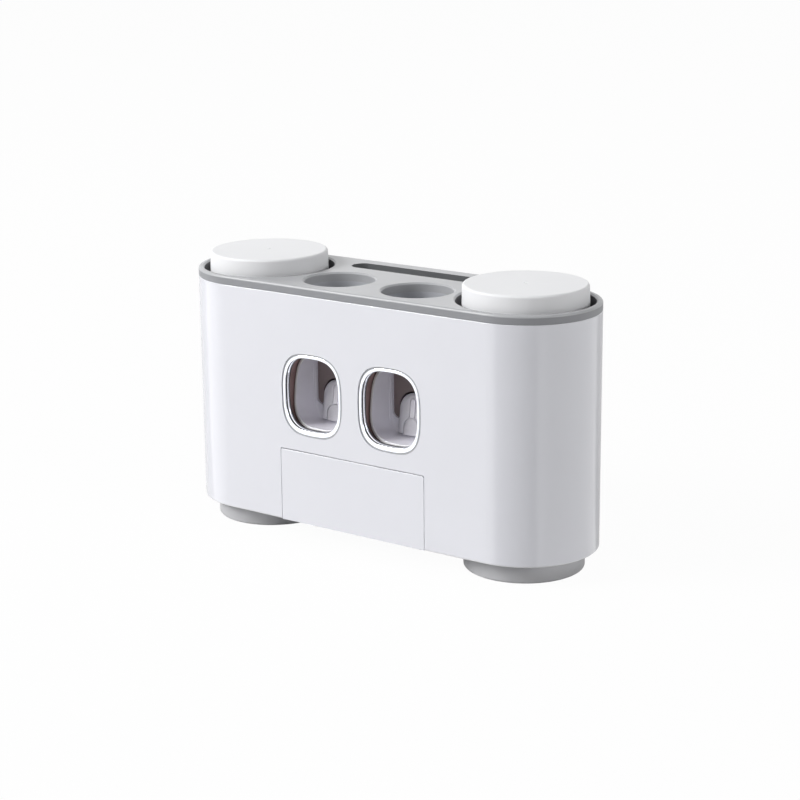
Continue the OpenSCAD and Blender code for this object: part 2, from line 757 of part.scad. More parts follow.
// Way of the paste from the pump's chamber up over the bowl to the nozzle
module outlet_passage() {
    rod_z(riser_r, pump_z, outlet_turn_z, outlet_x, chamber_y);
    rod_y(passage_r, outlet_rise_y - passage_r, chamber_y + passage_r, outlet_x, outlet_turn_z);
    rod_z(riser_r, outlet_turn_z, outlet_head_z, outlet_x, outlet_rise_y);
    rod_y(passage_r, nozzle_y - passage_r, outlet_rise_y + passage_r, outlet_x, outlet_head_z);
    rod_x(riser_r, 0, outlet_x, nozzle_y, outlet_head_z);
}

module pump_piston(side) color(liner_white) translate([side * squeezer_x, 0, pump_z]) difference() {
    union() {
        translate([0, rod_tip_y + rod_r, 0]) sphere(r = rod_r);
        rod_y(rod_r, rod_tip_y + rod_r, piston_y + piston_head_l / 2, 0, 0);
        rod_y(piston_head_r, piston_y, piston_y + piston_head_l, 0, 0);
    }
    difference() {
        rod_y(piston_head_r + over, piston_y + piston_head_l / 2 - groove_half_w,
            piston_y + piston_head_l / 2 + groove_half_w, 0, 0);
        rod_y(groove_r, piston_y, piston_y + piston_head_l, 0, 0);
    }
}

module piston_seal(side) color("dimgray")
    translate([side * squeezer_x, piston_y + piston_head_l / 2, pump_z]) rotate([90, 0, 0])
        rotate_extrude() translate([seal_r - seal_half_w, 0]) circle(r = seal_half_w, $fn = 24);

// Coil spring in the pump's chamber, one unbroken wire from the piston head to the end of the bore
spring_y0 = piston_y + piston_head_l + spring_end_gap + spring_wire_r;
spring_y1 = pump_end - spring_end_gap - spring_wire_r;
spring_pitch = (spring_y1 - spring_y0) / spring_turns;

function spring_centre(i) = [
    spring_r * cos(i * 360 / spring_rings),
    spring_y0 + spring_pitch * i / spring_rings,
    spring_r * sin(i * 360 / spring_rings)
];

function spring_point(i, j) =
    let (a = i * 360 / spring_rings, b = j * 360 / spring_sides, out = spring_wire_r * cos(b))
    spring_centre(i) + [out * cos(a), spring_wire_r * sin(b), out * sin(a)];

module return_spring(side) color(steel) translate([side * squeezer_x, 0, pump_z]) {
    last = spring_turns * spring_rings;
    points = [for (i = [0 : last]) for (j = [0 : spring_sides - 1]) spring_point(i, j)];
    sides = [for (i = [0 : last - 1]) for (j = [0 : spring_sides - 1])
        let (k = (j + 1) % spring_sides, a = i * spring_sides, b = a + spring_sides)
        each [[a + j, b + j, b + k], [a + j, b + k, a + k]]];
    ends = [for (j = [1 : spring_sides - 2])
        each [[0, j, j + 1], [last * spring_sides, last * spring_sides + j + 1, last * spring_sides + j]]];
    polyhedron(points = points, faces = concat(sides, ends), convexity = spring_turns);
}

module dosing_nozzle(side) color(silicone) translate([side * squeezer_x, nozzle_y, 0])
    rotate_extrude() polygon([
        [nozzle_bore_r, nozzle_low], [nozzle_tip_r, nozzle_low], [nozzle_r, bowl_high],
        [nozzle_r, outlet_head_z - riser_r], [nozzle_bore_r, outlet_head_z - riser_r]
    ]);

module pump_screws() color(steel)
    for (side = [-1, 1]) for (sx = [-1, 1]) for (z = [post_low, post_high])
        translate([side * squeezer_x + sx * post_x, bowl_rear + cheek_front_t, z]) union() {
            rod_y(screw_r, -pump_screw_l, screw_head_h / 2, 0, 0);
            rod_y(screw_head_r, 0, screw_head_h, 0, 0);
        }

// Brush compartment

module flip_cover() color(white) union() {
    bar([-flap_half_w, front_y, foot_h], [flap_half_w, front_y + flap_t, hinge_z]);
    rod_x(barrel_r, -flap_half_w, flap_half_w, hinge_y, hinge_z);
    rod_x(stub_r, -flap_half_w - ear_t, flap_half_w + ear_t, hinge_y, hinge_z);
    bar([-flap_half_w / 3, front_y + flap_t / 2, foot_h],
        [flap_half_w / 3, front_y + flap_t + lip_t, foot_h + lip_h]);
}

module brush_rack() color(liner_white) difference() {
    union() {
        bar([-rack_half_w, rack_back - rack_wall, floor_top], [rack_half_w, rack_back, rack_top]);
        bar([-rack_half_w, rack_front, rack_top - rack_wall], [rack_half_w, rack_back, rack_top]);
        bar([-rack_half_w, shelf_front, shelf_z], [rack_half_w, rack_back, shelf_z + shelf_t]);
        for (sx = [-1, 1]) {
            low_x = sx > 0 ? rack_half_w - rack_wall : -rack_half_w;
            bar([low_x, rack_side_front, floor_top], [low_x + rack_wall, rack_back, rack_top]);
            bar([sx * foot_tab_x - foot_tab_w / 2, rack_back - rack_wall / 2, floor_top],
                [sx * foot_tab_x + foot_tab_w / 2, rack_back + foot_tab_l, floor_top + foot_tab_t]);
            rod_z(rack_boss_r, floor_top, floor_top + rack_boss_h,
                sx * foot_tab_x, rack_back + foot_tab_l / 2);
        }
    }
    for (i = [0 : brush_n - 1]) {
        x = (i - (brush_n - 1) / 2) * brush_pitch;
        rod_z(notch_w / 2, shelf_z - over, shelf_z + shelf_t + over, x, notch_end);
        bar([x - notch_w / 2, shelf_front - over, shelf_z - over],
            [x + notch_w / 2, notch_end, shelf_z + shelf_t + over]);
    }
    for (sx = [-1, 1])
        rod_z(screw_r, floor_top - over, floor_top + rack_screw_l,
            sx * foot_tab_x, rack_back + foot_tab_l / 2);
}

module rack_screws() color(steel)
    for (sx = [-1, 1]) translate([sx * foot_tab_x, rack_back + foot_tab_l / 2, foot_h]) union() {
        rod_z(screw_r, -screw_head_h / 2, rack_screw_l, 0, 0);
        rod_z(screw_head_r, -screw_head_h, 0, 0, 0);
    }

outer_shell();
rear_cover();
top_tray();
storage_pocket();
cup_well(-1);  // cup_well_left
cup_well(1);  // cup_well_right
cup(-1);  // cup_left
cup(1);  // cup_right
tube_sleeve(-1);  // tube_sleeve_left
tube_sleeve(1);  // tube_sleeve_right
inlet_adapter(-1);  // inlet_adapter_left
inlet_adapter(1);  // inlet_adapter_right
window_frame(-1);  // window_frame_left
window_frame(1);  // window_frame_right
squeezer_bowl(-1);  // squeezer_bowl_left
squeezer_bowl(1);  // squeezer_bowl_right
push_lever(-1);  // push_lever_left
push_lever(1);  // push_lever_right
lever_pin(-1);  // lever_pin_left
lever_pin(1);  // lever_pin_right
pump_body(-1);  // pump_body_left
pump_body(1);  // pump_body_right
pump_piston(-1);  // pump_piston_left
pump_piston(1);  // pump_piston_right
piston_seal(-1);  // piston_seal_left
piston_seal(1);  // piston_seal_right
return_spring(-1);  // return_spring_left
return_spring(1);  // return_spring_right
dosing_nozzle(-1);  // dosing_nozzle_left
dosing_nozzle(1);  // dosing_nozzle_right
pump_screws();
cover_screws();
flip_cover();
brush_rack();
rack_screws();
wall_hook(-1);  // wall_hook_left
wall_hook(1);  // wall_hook_right
adhesive_pad(-1);  // adhesive_pad_left
adhesive_pad(1);  // adhesive_pad_right
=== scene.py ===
# Toothbrush holder with toothpaste dispenser: the looks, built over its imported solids
import json
import math
import bmesh
import bpy
from mathutils import Matrix, Vector


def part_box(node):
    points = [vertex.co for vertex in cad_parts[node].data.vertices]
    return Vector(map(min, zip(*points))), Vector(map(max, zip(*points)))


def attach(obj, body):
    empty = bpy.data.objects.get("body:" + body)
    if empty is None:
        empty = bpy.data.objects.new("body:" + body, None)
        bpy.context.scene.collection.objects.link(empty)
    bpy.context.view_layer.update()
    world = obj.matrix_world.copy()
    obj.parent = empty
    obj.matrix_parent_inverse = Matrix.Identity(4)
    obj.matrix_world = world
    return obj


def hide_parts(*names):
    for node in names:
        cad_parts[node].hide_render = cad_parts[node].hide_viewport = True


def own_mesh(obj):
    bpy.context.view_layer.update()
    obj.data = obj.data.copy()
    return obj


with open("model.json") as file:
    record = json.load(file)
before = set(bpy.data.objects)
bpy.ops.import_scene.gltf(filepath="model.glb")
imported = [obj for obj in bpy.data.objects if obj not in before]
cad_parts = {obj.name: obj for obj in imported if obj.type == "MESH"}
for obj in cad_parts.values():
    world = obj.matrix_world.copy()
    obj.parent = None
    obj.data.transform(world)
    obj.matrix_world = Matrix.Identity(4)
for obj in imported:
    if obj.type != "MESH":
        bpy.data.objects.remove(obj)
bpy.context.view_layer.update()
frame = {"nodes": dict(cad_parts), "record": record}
mm = 0.001  # sizes below are in millimetres, meshes in metres
sides = {"left": -1, "right": 1}
scene = bpy.context.scene
over = 1.0  # how far a cut runs past the face it opens, or a joined form runs into its neighbour


def nodeBox(node):  # a solid's two corners, in millimetres
    low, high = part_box(node)
    return low / mm, high / mm


def newObject(name, data):
    thing = bpy.data.objects.new(name, data)
    scene.collection.objects.link(thing)
    return thing


def pointMesh(name, points, faces=()):
    mesh = bpy.data.meshes.new(name)
    mesh.from_pydata([Vector(point) * mm for point in points], [], faces)
    return mesh


def meshObject(name, points, faces):
    thing = newObject(name, pointMesh(name, points, faces))
    tidyMesh(thing)
    return thing


meshLimits = {"sameSpot": 0.002, "noLength": 0.001, "flatAngle": 0.2}


def tidyMesh(thing, flatten=False):  # merges doubles and turns the faces outwards
    s = meshLimits
    work = bmesh.new()
    work.from_mesh(thing.data)
    bmesh.ops.remove_doubles(work, verts=work.verts, dist=s["sameSpot"] * mm)
    bmesh.ops.dissolve_degenerate(work, edges=work.edges, dist=s["noLength"] * mm)
    if flatten:
        flat = math.radians(s["flatAngle"])
        bmesh.ops.dissolve_limit(work, angle_limit=flat, verts=work.verts, edges=work.edges)
    bmesh.ops.recalc_face_normals(work, faces=work.faces)
    work.to_mesh(thing.data)
    work.free()


def bake(thing):  # the modifiers' result becomes the piece's own mesh
    graph = bpy.context.evaluated_depsgraph_get()
    mesh = bpy.data.meshes.new_from_object(thing.evaluated_get(graph))
    thing.modifiers.clear()
    thing.data = mesh


def combine(thing, others, operation="DIFFERENCE"):
    for other in others:
        step = thing.modifiers.new("step", "BOOLEAN")
        step.operation = operation
        step.solver = "EXACT"
        step.object = other
    bake(thing)
    for other in others:
        bpy.data.objects.remove(other)
    tidyMesh(thing, flatten=True)
    return thing


def smooth(thing, angle=35):  # soft shading that keeps sharp edges and flat faces
    thing.data.polygons.foreach_set("use_smooth", [True] * len(thing.data.polygons))
    thing.data.set_sharp_from_angle(angle=math.radians(angle))
    weighted = thing.modifiers.new("normals", "WEIGHTED_NORMAL")
    weighted.keep_sharp = True
    bake(thing)
    return thing


def soften(thing, width, segments=3, angle=32):  # small rounds on every edge of a moulding
    edges = thing.modifiers.new("edges", "BEVEL")
    edges.width = width * mm
    edges.segments = segments
    edges.limit_method = "ANGLE"
    edges.angle_limit = math.radians(angle)
    bake(thing)
    return smooth(thing)


def place(thing, body, slotName, material, *nodes):
    thing.data.materials.clear()
    thing.data.materials.append(material)
    thing.data.polygons.foreach_set("material_index", [0] * len(thing.data.polygons))
    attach(thing, body)
    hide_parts(*nodes)
    return thing


def secondFinish(thing, material, holds):  # another finish where holds(centre, normal) is true of a face
    thing.data.materials.append(material)
    for face in thing.data.polygons:
        if holds(face.center / mm, face.normal):
            face.material_index = len(thing.data.materials) - 1


# Outlines and solids

windowPower = 3.0  # a window's outline lies between an ellipse at 2 and a rectangle far above


def roundedOutline(width, height, radius, centre=(0.0, 0.0), steps=12):
    points = []
    for quarter in range(4):
        cornerX = centre[0] + (width / 2 - radius) * (1, -1, -1, 1)[quarter]
        cornerY = centre[1] + (height / 2 - radius) * (1, 1, -1, -1)[quarter]
        for step in range(steps + 1):
            turn = (quarter + step / steps) * math.pi / 2
            points.append((cornerX + radius * math.cos(turn), cornerY + radius * math.sin(turn)))
    return points


def windowOutline(width, height, centre=(0.0, 0.0), power=windowPower, steps=20):  # a curve with no flats
    points = []
    for step in range(4 * steps):
        turn = 2 * math.pi * step / (4 * steps)
        across = math.copysign(abs(math.cos(turn)) ** (2 / power), math.cos(turn))
        along = math.copysign(abs(math.sin(turn)) ** (2 / power), math.sin(turn))
        points.append((centre[0] + width / 2 * across, centre[1] + height / 2 * along))
    return points


def circleOutline(radius, centre=(0.0, 0.0), steps=48):
    turns = [2 * math.pi * step / steps for step in range(steps)]
    return [(centre[0] + radius * math.cos(turn), centre[1] + radius * math.sin(turn)) for turn in turns]


def boxOutline(lowX, highX, lowY, highY):
    return [(lowX, lowY), (highX, lowY), (highX, highY), (lowX, highY)]


def prism(outline, axis, low, high, name="form"):
    def at(point, level):
        if axis == "x":
            return (level, point[0], point[1])
        if axis == "y":
            return (point[0], level, point[1])
        return (point[0], point[1], level)

    count = len(outline)
    points = [at(point, low) for point in outline] + [at(point, high) for point in outline]
    faces = [list(range(count)), list(range(2 * count - 1, count - 1, -1))]
    faces += [[i, (i + 1) % count, count + (i + 1) % count, count + i] for i in range(count)]
    return meshObject(name, points, faces)


def rod(radius, centre, axis, low, high, steps=32):
    return prism(circleOutline(radius, centre, steps), axis, low, high)


def block(low, high):
    return prism(boxOutline(low[0], high[0], low[1], high[1]), "z", low[2], high[2])


def loft(rings, name="form", closed=False):  # skins a row of rings of equal counts
    count = len(rings[0])
    points = [point for ring in rings for point in ring]
    faces = []
    for row in range(len(rings) if closed else len(rings) - 1):
        after = (row + 1) % len(rings)
        for i in range(count):
            j = (i + 1) % count
            faces.append([row * count + i, row * count + j, after * count + j, after * count + i])
    if not closed:
        faces.append(list(range(count)))
        faces.append([(len(rings) - 1) * count + i for i in range(count)])
    return meshObject(name, points, faces)


def solidCopy(node):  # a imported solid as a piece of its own
    thing = newObject(node + "_moulding", frame["nodes"][node].data.copy())
    tidyMesh(thing, flatten=True)
    return thing


# Geometry Nodes


def treeMath(tree, operation, first, second=None):
    step = tree.nodes.new("ShaderNodeMath")
    step.operation = operation
    for socket, value in zip(step.inputs, (first, second)):
        if isinstance(value, (int, float)):
            socket.default_value = value
        elif value is not None:
            tree.links.new(value, socket)
    return step.outputs[0]


def treeNode(tree, kind, values, **settings):
    step = tree.nodes.new(kind)
    for setting, value in settings.items():
        setattr(step, setting, value)
    for label, value in values.items():
        socket = step.inputs[label]
        if isinstance(value, bpy.types.NodeSocket):
            tree.links.new(value, socket)
        else:
            socket.default_value = value
    return step


def newTree(name, inputs):
    tree = bpy.data.node_groups.new(name, "GeometryNodeTree")
    tree.interface.new_socket(name="Geometry", in_out="INPUT", socket_type="NodeSocketGeometry")
    for label, kind in inputs:
        tree.interface.new_socket(name=label, in_out="INPUT", socket_type="NodeSocket" + kind)
    tree.interface.new_socket(name="Geometry", in_out="OUTPUT", socket_type="NodeSocketGeometry")
    return tree, tree.nodes.new("NodeGroupInput").outputs, tree.nodes.new("NodeGroupOutput")


def endTree(tree, geometry, material, groupOutput):
    real = treeNode(tree, "GeometryNodeRealizeInstances", {"Geometry": geometry})
    coloured = treeNode(tree, "GeometryNodeSetMaterial", {"Geometry": real.outputs[0], "Material": material})
    tree.links.new(coloured.outputs[0], groupOutput.inputs[0])


def runTree(thing, tree, values):  # sets the inputs by their identifiers, then bakes
    modifier = thing.modifiers.new("nodes", "NODES")
    modifier.node_group = tree
    for socket in tree.interface.items_tree:
        if socket.in_out == "INPUT" and socket.name in values:
            modifier[socket.identifier] = values[socket.name]
    bake(thing)
    return thing


def makeSweepTree():  # sweeps an outline round a circle, or round two half circles with straights between
    tree, given, groupOutput = newTree("sweptWall", [
        ("End distance", "Float"), ("Columns", "Int"), ("Corner steps", "Int"), ("Closed outline", "Int"),
        ("Centre", "Vector"), ("Material", "Material")])
    line = treeNode(tree, "GeometryNodeMeshToCurve", {"Mesh": given["Geometry"]})
    corner = treeNode(tree, "GeometryNodeInputNamedAttribute", {"Name": "cornerRadius"}, data_type="FLOAT")
    rounded = treeNode(tree, "GeometryNodeFilletCurve", {
        "Curve": line.outputs[0], "Count": given["Corner steps"], "Radius": corner.outputs[0]}, mode="POLY")
    size = treeNode(
        tree, "GeometryNodeAttributeDomainSize", {"Geometry": rounded.outputs[0]}, component="CURVE")
    rows = treeMath(tree, "ADD", size.outputs["Point Count"], given["Closed outline"])
    columns = treeMath(tree, "ADD", given["Columns"], 1)
    grid = treeNode(tree, "GeometryNodeMeshGrid", {"Vertices X": rows, "Vertices Y": columns})
    index = tree.nodes.new("GeometryNodeInputIndex").outputs[0]
    row = treeMath(tree, "FLOOR", treeMath(tree, "DIVIDE", treeMath(tree, "ADD", index, 0.5), columns))
    column = treeMath(tree, "SUBTRACT", index, treeMath(tree, "MULTIPLY", row, columns))
    onLine = treeMath(tree, "MODULO", row, size.outputs["Point Count"])
    spot = treeNode(tree, "GeometryNodeSampleIndex", {
        "Geometry": rounded.outputs[0], "Value": tree.nodes.new("GeometryNodeInputPosition").outputs[0],
        "Index": onLine}, data_type="FLOAT_VECTOR", domain="POINT")
    split = treeNode(tree, "ShaderNodeSeparateXYZ", {"Vector": spot.outputs[0]})
    turn = treeMath(tree, "MULTIPLY", treeMath(tree, "ADD", column, 0.5), 2 * math.pi)
    turn = treeMath(tree, "DIVIDE", turn, given["Columns"])
    across = treeMath(tree, "COSINE", turn)
    endX = treeMath(tree, "MULTIPLY", treeMath(tree, "SIGN", across), given["End distance"])
    x = treeMath(tree, "ADD", endX, treeMath(tree, "MULTIPLY", across, split.outputs["X"]))
    y = treeMath(tree, "MULTIPLY", treeMath(tree, "SINE", turn), split.outputs["X"])
    swept = treeNode(tree, "ShaderNodeCombineXYZ", {"X": x, "Y": y, "Z": split.outputs["Z"]})
    moved = treeNode(tree, "ShaderNodeVectorMath", {0: swept.outputs[0], 1: given["Centre"]}, operation="ADD")
    wall = treeNode(
        tree, "GeometryNodeSetPosition", {"Geometry": grid.outputs[0], "Position": moved.outputs[0]})
    joined = treeNode(tree, "GeometryNodeMergeByDistance", {
        "Geometry": wall.outputs[0], "Distance": meshLimits["sameSpot"] * mm})
    endTree(tree, joined.outputs[0], given["Material"], groupOutput)
    return tree


sweepTree = makeSweepTree()


def sweptWall(name, outline, material, endDistance=0.0, centre=(0, 0, 0), columns=128, cornerSteps=5,
              closed=False):
    # outline: radius, height and corner radius of each point, from pole to pole or round a ring
    count = len(outline)
    edges = [(i, i + 1) for i in range(count - 1)] + ([(count - 1, 0)] if closed else [])
    mesh = bpy.data.meshes.new(name)
    mesh.from_pydata([(radius * mm, 0, height * mm) for radius, height, corner in outline], edges, [])
    corners = mesh.attributes.new("cornerRadius", "FLOAT", "POINT")
    corners.data.foreach_set("value", [corner * mm for radius, height, corner in outline])
    thing = newObject(name, mesh)
    runTree(thing, sweepTree, {
        "End distance": endDistance * mm, "Columns": columns, "Corner steps": cornerSteps,
        "Closed outline": int(closed), "Centre": Vector(centre) * mm, "Material": material})
    tidyMesh(thing, flatten=True)
    return thing


# The cross in shares of the head's top radius and height, the thread in a share of the shank's length
crossShares = {"length": 1.3, "width": 0.28, "depth": 0.9, "thread": 0.9}
threadRadius = 0.16


def makeScrewTree():  # a cross-head screw on every point of the mesh
    tree, given, groupOutput = newTree("crossScrews", [
        ("Head radius", "Float"), ("Head top radius", "Float"), ("Head height", "Float"),
        ("Shank radius", "Float"), ("Shank length", "Float"), ("Thread turns", "Float"),
        ("Turn", "Rotation"), ("Material", "Material")])
    head = treeNode(tree, "GeometryNodeMeshCone", {
        "Vertices": 32, "Radius Top": given["Head top radius"], "Radius Bottom": given["Head radius"],
        "Depth": given["Head height"]})
    slotLength = treeMath(tree, "MULTIPLY", given["Head top radius"], crossShares["length"])
    slotWidth = treeMath(tree, "MULTIPLY", given["Head top radius"], crossShares["width"])
    slotDepth = treeMath(tree, "MULTIPLY", given["Head height"], crossShares["depth"])
    longCut = treeNode(tree, "ShaderNodeCombineXYZ", {"X": slotLength, "Y": slotWidth, "Z": slotDepth})
    crossCut = treeNode(tree, "ShaderNodeCombineXYZ", {"X": slotWidth, "Y": slotLength, "Z": slotDepth})
    lift = treeNode(tree, "ShaderNodeCombineXYZ", {"Z": given["Head height"]})
    cuts = []
    for size in (longCut, crossCut):
        bar = treeNode(tree, "GeometryNodeMeshCube", {"Size": size.outputs[0]})
        up = treeNode(tree, "GeometryNodeTransform", {
            "Geometry": bar.outputs[0], "Translation": lift.outputs[0]})
        cuts.append(up.outputs[0])
    recessed = treeNode(
        tree, "GeometryNodeMeshBoolean", {"Mesh 1": head.outputs[0]}, operation="DIFFERENCE")
    for cut in cuts:
        tree.links.new(cut, recessed.inputs["Mesh 2"])
    shank = treeNode(tree, "GeometryNodeMeshCylinder", {
        "Vertices": 20, "Radius": given["Shank radius"], "Depth": given["Shank length"]})
    half = treeMath(tree, "MULTIPLY", given["Shank length"], -0.5)
    down = treeNode(tree, "ShaderNodeCombineXYZ", {"Z": half})
    hung = treeNode(tree, "GeometryNodeTransform", {
        "Geometry": shank.outputs[0], "Translation": down.outputs[0]})
    threadLength = treeMath(tree, "MULTIPLY", given["Shank length"], -crossShares["thread"])
    spiral = treeNode(tree, "GeometryNodeCurveSpiral", {
        "Resolution": 20, "Rotations": given["Thread turns"], "Start Radius": given["Shank radius"],
        "End Radius": given["Shank radius"], "Height": threadLength})
    ridge = treeNode(tree, "GeometryNodeCurvePrimitiveCircle", {
        "Resolution": 4, "Radius": threadRadius * mm})
    thread = treeNode(tree, "GeometryNodeCurveToMesh", {
        "Curve": spiral.outputs[0], "Profile Curve": ridge.outputs[0], "Fill Caps": True})
    whole = tree.nodes.new("GeometryNodeJoinGeometry")
    for part in (recessed.outputs[0], hung.outputs[0], thread.outputs[0]):
        tree.links.new(part, whole.inputs[0])
    copies = treeNode(tree, "GeometryNodeInstanceOnPoints", {
        "Points": given["Geometry"], "Instance": whole.outputs[0], "Rotation": given["Turn"]})
    endTree(tree, copies.outputs[0], given["Material"], groupOutput)
    return tree


def makeSpringTree():  # a coil along Y with a plain turn at each end
    tree, given, groupOutput = newTree("coilSpring", [
        ("Coil radius", "Float"), ("Wire radius", "Float"), ("Length", "Float"), ("Turns", "Float"),
        ("Start", "Vector"), ("Material", "Material")])
    coil = treeNode(tree, "GeometryNodeCurveSpiral", {
        "Resolution": 36, "Rotations": given["Turns"], "Start Radius": given["Coil radius"],
        "End Radius": given["Coil radius"], "Height": given["Length"]})
    loop = treeNode(tree, "GeometryNodeCurvePrimitiveCircle", {
        "Resolution": 36, "Radius": given["Coil radius"]})
    top = treeNode(tree, "ShaderNodeCombineXYZ", {"Z": given["Length"]})
    upper = treeNode(tree, "GeometryNodeTransform", {
        "Geometry": loop.outputs[0], "Translation": top.outputs[0]})
    path = tree.nodes.new("GeometryNodeJoinGeometry")
    for part in (coil.outputs[0], loop.outputs[0], upper.outputs[0]):
        tree.links.new(part, path.inputs[0])
    wire = treeNode(tree, "GeometryNodeCurvePrimitiveCircle", {
        "Resolution": 10, "Radius": given["Wire radius"]})
    spring = treeNode(tree, "GeometryNodeCurveToMesh", {
        "Curve": path.outputs[0], "Profile Curve": wire.outputs[0], "Fill Caps": True})
    laid = treeNode(tree, "GeometryNodeTransform", {
        "Geometry": spring.outputs[0], "Translation": given["Start"], "Rotation": (-math.pi / 2, 0, 0)})
    endTree(tree, laid.outputs[0], given["Material"], groupOutput)
    return tree


screwTree = makeScrewTree()
springTree = makeSpringTree()
print("helpers and node trees ready")

# Finishes


def newGroup(name, inputs, outputs):
    group = bpy.data.node_groups.new(name, "ShaderNodeTree")
    for label, kind, value in inputs:
        socket = group.interface.new_socket(name=label, in_out="INPUT", socket_type="NodeSocket" + kind)
        socket.default_value = value
    for label, kind in outputs:
        group.interface.new_socket(name=label, in_out="OUTPUT", socket_type="NodeSocket" + kind)
    return group, group.nodes.new("NodeGroupInput").outputs, group.nodes.new("NodeGroupOutput").inputs


def shadeMix(tree, kind, factor, first, second, blend="MIX"):
    step = tree.nodes.new("ShaderNodeMix")
    step.data_type = kind
    step.blend_type = blend if kind == "RGBA" else "MIX"
    sockets = [s for s in step.inputs if s.type == {"RGBA": "RGBA", "FLOAT": "VALUE"}[kind] and s.enabled]
    sockets = [step.inputs[0]] + [s for s in sockets if s.name in ("A", "B")]
    for socket, value in zip(sockets, (factor, first, second)):
        if isinstance(value, bpy.types.NodeSocket):
            tree.links.new(value, socket)
        else:
            socket.default_value = value
    return next(s for s in step.outputs if s.enabled)


def mapped(tree, value, low, high, toLow, toHigh):
    return treeNode(tree, "ShaderNodeMapRange", {
        "Value": value, "From Min": low, "From Max": high, "To Min": toLow, "To Max": toHigh}).outputs[0]


def tinted(tree, colour, spread, drift):  # lighter and darker along the spread
    lift = treeMath(tree, "ADD", treeMath(tree, "MULTIPLY", spread, drift), 1.0)
    tint = treeNode(tree, "ShaderNodeCombineColor", {"Red": lift, "Green": lift, "Blue": lift})
    return shadeMix(tree, "RGBA", 1.0, colour, tint.outputs[0], "MULTIPLY")


def makeSkinGroup():  # moulded skin: slow flow marks in colour and gloss, and a fine grain
    group, given, out = newGroup("mouldedSkin", [
        ("Colour", "Color", (0.8, 0.8, 0.8, 1)), ("Colour drift", "Float", 0.03), ("Roughness", "Float", 0.3),
        ("Gloss drift", "Float", 0.05), ("Grain size", "Float", 1500.0), ("Flow size", "Float", 18.0)],
        [("Colour", "Color"), ("Roughness", "Float"), ("Height", "Float")])
    objectPlace = group.nodes.new("ShaderNodeTexCoord").outputs["Object"]
    flow = treeNode(group, "ShaderNodeTexNoise", {
        "Vector": objectPlace, "Scale": given["Flow size"], "Detail": 3.0, "Distortion": 0.6})
    grain = treeNode(group, "ShaderNodeTexNoise", {
        "Vector": objectPlace, "Scale": given["Grain size"], "Detail": 2.0})
    spread = mapped(group, flow.outputs[0], 0.3, 0.7, -1.0, 1.0)
    glossSpread = treeMath(group, "MULTIPLY", spread, given["Gloss drift"])
    gloss = treeMath(group, "ADD", glossSpread, given["Roughness"])
    evenGrain = treeMath(group, "SUBTRACT", grain.outputs[0], 0.5)
    fine = treeMath(group, "MULTIPLY", evenGrain, given["Gloss drift"])
    group.links.new(tinted(group, given["Colour"], spread, given["Colour drift"]), out["Colour"])
    group.links.new(treeMath(group, "ADD", gloss, fine), out["Roughness"])
    group.links.new(grain.outputs[0], out["Height"])
    return group


def makeDustGroup():  # sparse dust specks and fingertip haze
    group, given, out = newGroup("dustAndHaze", [
        ("Colour", "Color", (0.8, 0.8, 0.8, 1)), ("Dust colour", "Color", (0.6, 0.58, 0.55, 1)),
        ("Roughness", "Float", 0.3), ("Dust", "Float", 0.3), ("Haze", "Float", 0.08)],
        [("Colour", "Color"), ("Roughness", "Float")])
    objectPlace = group.nodes.new("ShaderNodeTexCoord").outputs["Object"]
    cell = treeNode(group, "ShaderNodeTexVoronoi", {"Vector": objectPlace, "Scale": 420.0})
    patch = treeNode(group, "ShaderNodeTexNoise", {"Vector": objectPlace, "Scale": 60.0, "Detail": 4.0})
    speck = mapped(group, cell.outputs["Distance"], 0.05, 0.09, 1.0, 0.0)
    here = mapped(group, patch.outputs[0], 0.56, 0.68, 0.0, 1.0)
    mask = treeMath(group, "MULTIPLY", treeMath(group, "MULTIPLY", speck, here), given["Dust"])
    smear = treeNode(group, "ShaderNodeTexNoise", {
        "Vector": objectPlace, "Scale": 32.0, "Detail": 5.0, "Distortion": 1.4})
    haze = treeMath(group, "MULTIPLY", mapped(group, smear.outputs[0], 0.5, 0.75, 0.0, 1.0), given["Haze"])
    group.links.new(shadeMix(group, "RGBA", mask, given["Colour"], given["Dust colour"]), out["Colour"])
    rough = treeMath(group, "ADD", treeMath(group, "ADD", given["Roughness"], haze), mask)
    group.links.new(treeMath(group, "MINIMUM", rough, 1.0), out["Roughness"])
    return group


def makeHairlineGroup():  # brushed or drawn metal: fine lines along one axis
    group, given, out = newGroup("hairlines", [
        ("Colour", "Color", (0.8, 0.8, 0.8, 1)), ("Roughness", "Float", 0.2), ("Depth", "Float", 0.1),
        ("Stretch", "Vector", (40.0, 900.0, 900.0))],
        [("Colour", "Color"), ("Roughness", "Float"), ("Height", "Float")])
    objectPlace = group.nodes.new("ShaderNodeTexCoord").outputs["Object"]
    long = treeNode(
        group, "ShaderNodeVectorMath", {0: objectPlace, 1: given["Stretch"]}, operation="MULTIPLY")
    lines = treeNode(group, "ShaderNodeTexNoise", {"Vector": long.outputs[0], "Scale": 1.0, "Detail": 3.0})
    spread = mapped(group, lines.outputs[0], 0.3, 0.7, -1.0, 1.0)
    group.links.new(tinted(group, given["Colour"], spread, 0.03), out["Colour"])
    rough = treeMath(group, "ADD", treeMath(group, "MULTIPLY", spread, given["Depth"]), given["Roughness"])
    group.links.new(treeMath(group, "MAXIMUM", rough, 0.02), out["Roughness"])
    group.links.new(lines.outputs[0], out["Height"])
    return group


skinGroup = makeSkinGroup()
dustGroup = makeDustGroup()
hairlineGroup = makeHairlineGroup()


def groupNode(tree, group, values):
    return treeNode(tree, "ShaderNodeGroup", values, node_tree=group)


def newMaterial(name):
    material = bpy.data.materials.new(name)
    material.use_nodes = True
    return material, material.node_tree, material.node_tree.nodes["Principled BSDF"]


def bumped(tree, shader, height, strength, depth):
    bump = treeNode(tree, "ShaderNodeBump", {"Height": height, "Strength": strength, "Distance": depth * mm})
    tree.links.new(bump.outputs[0], shader.inputs["Normal"])


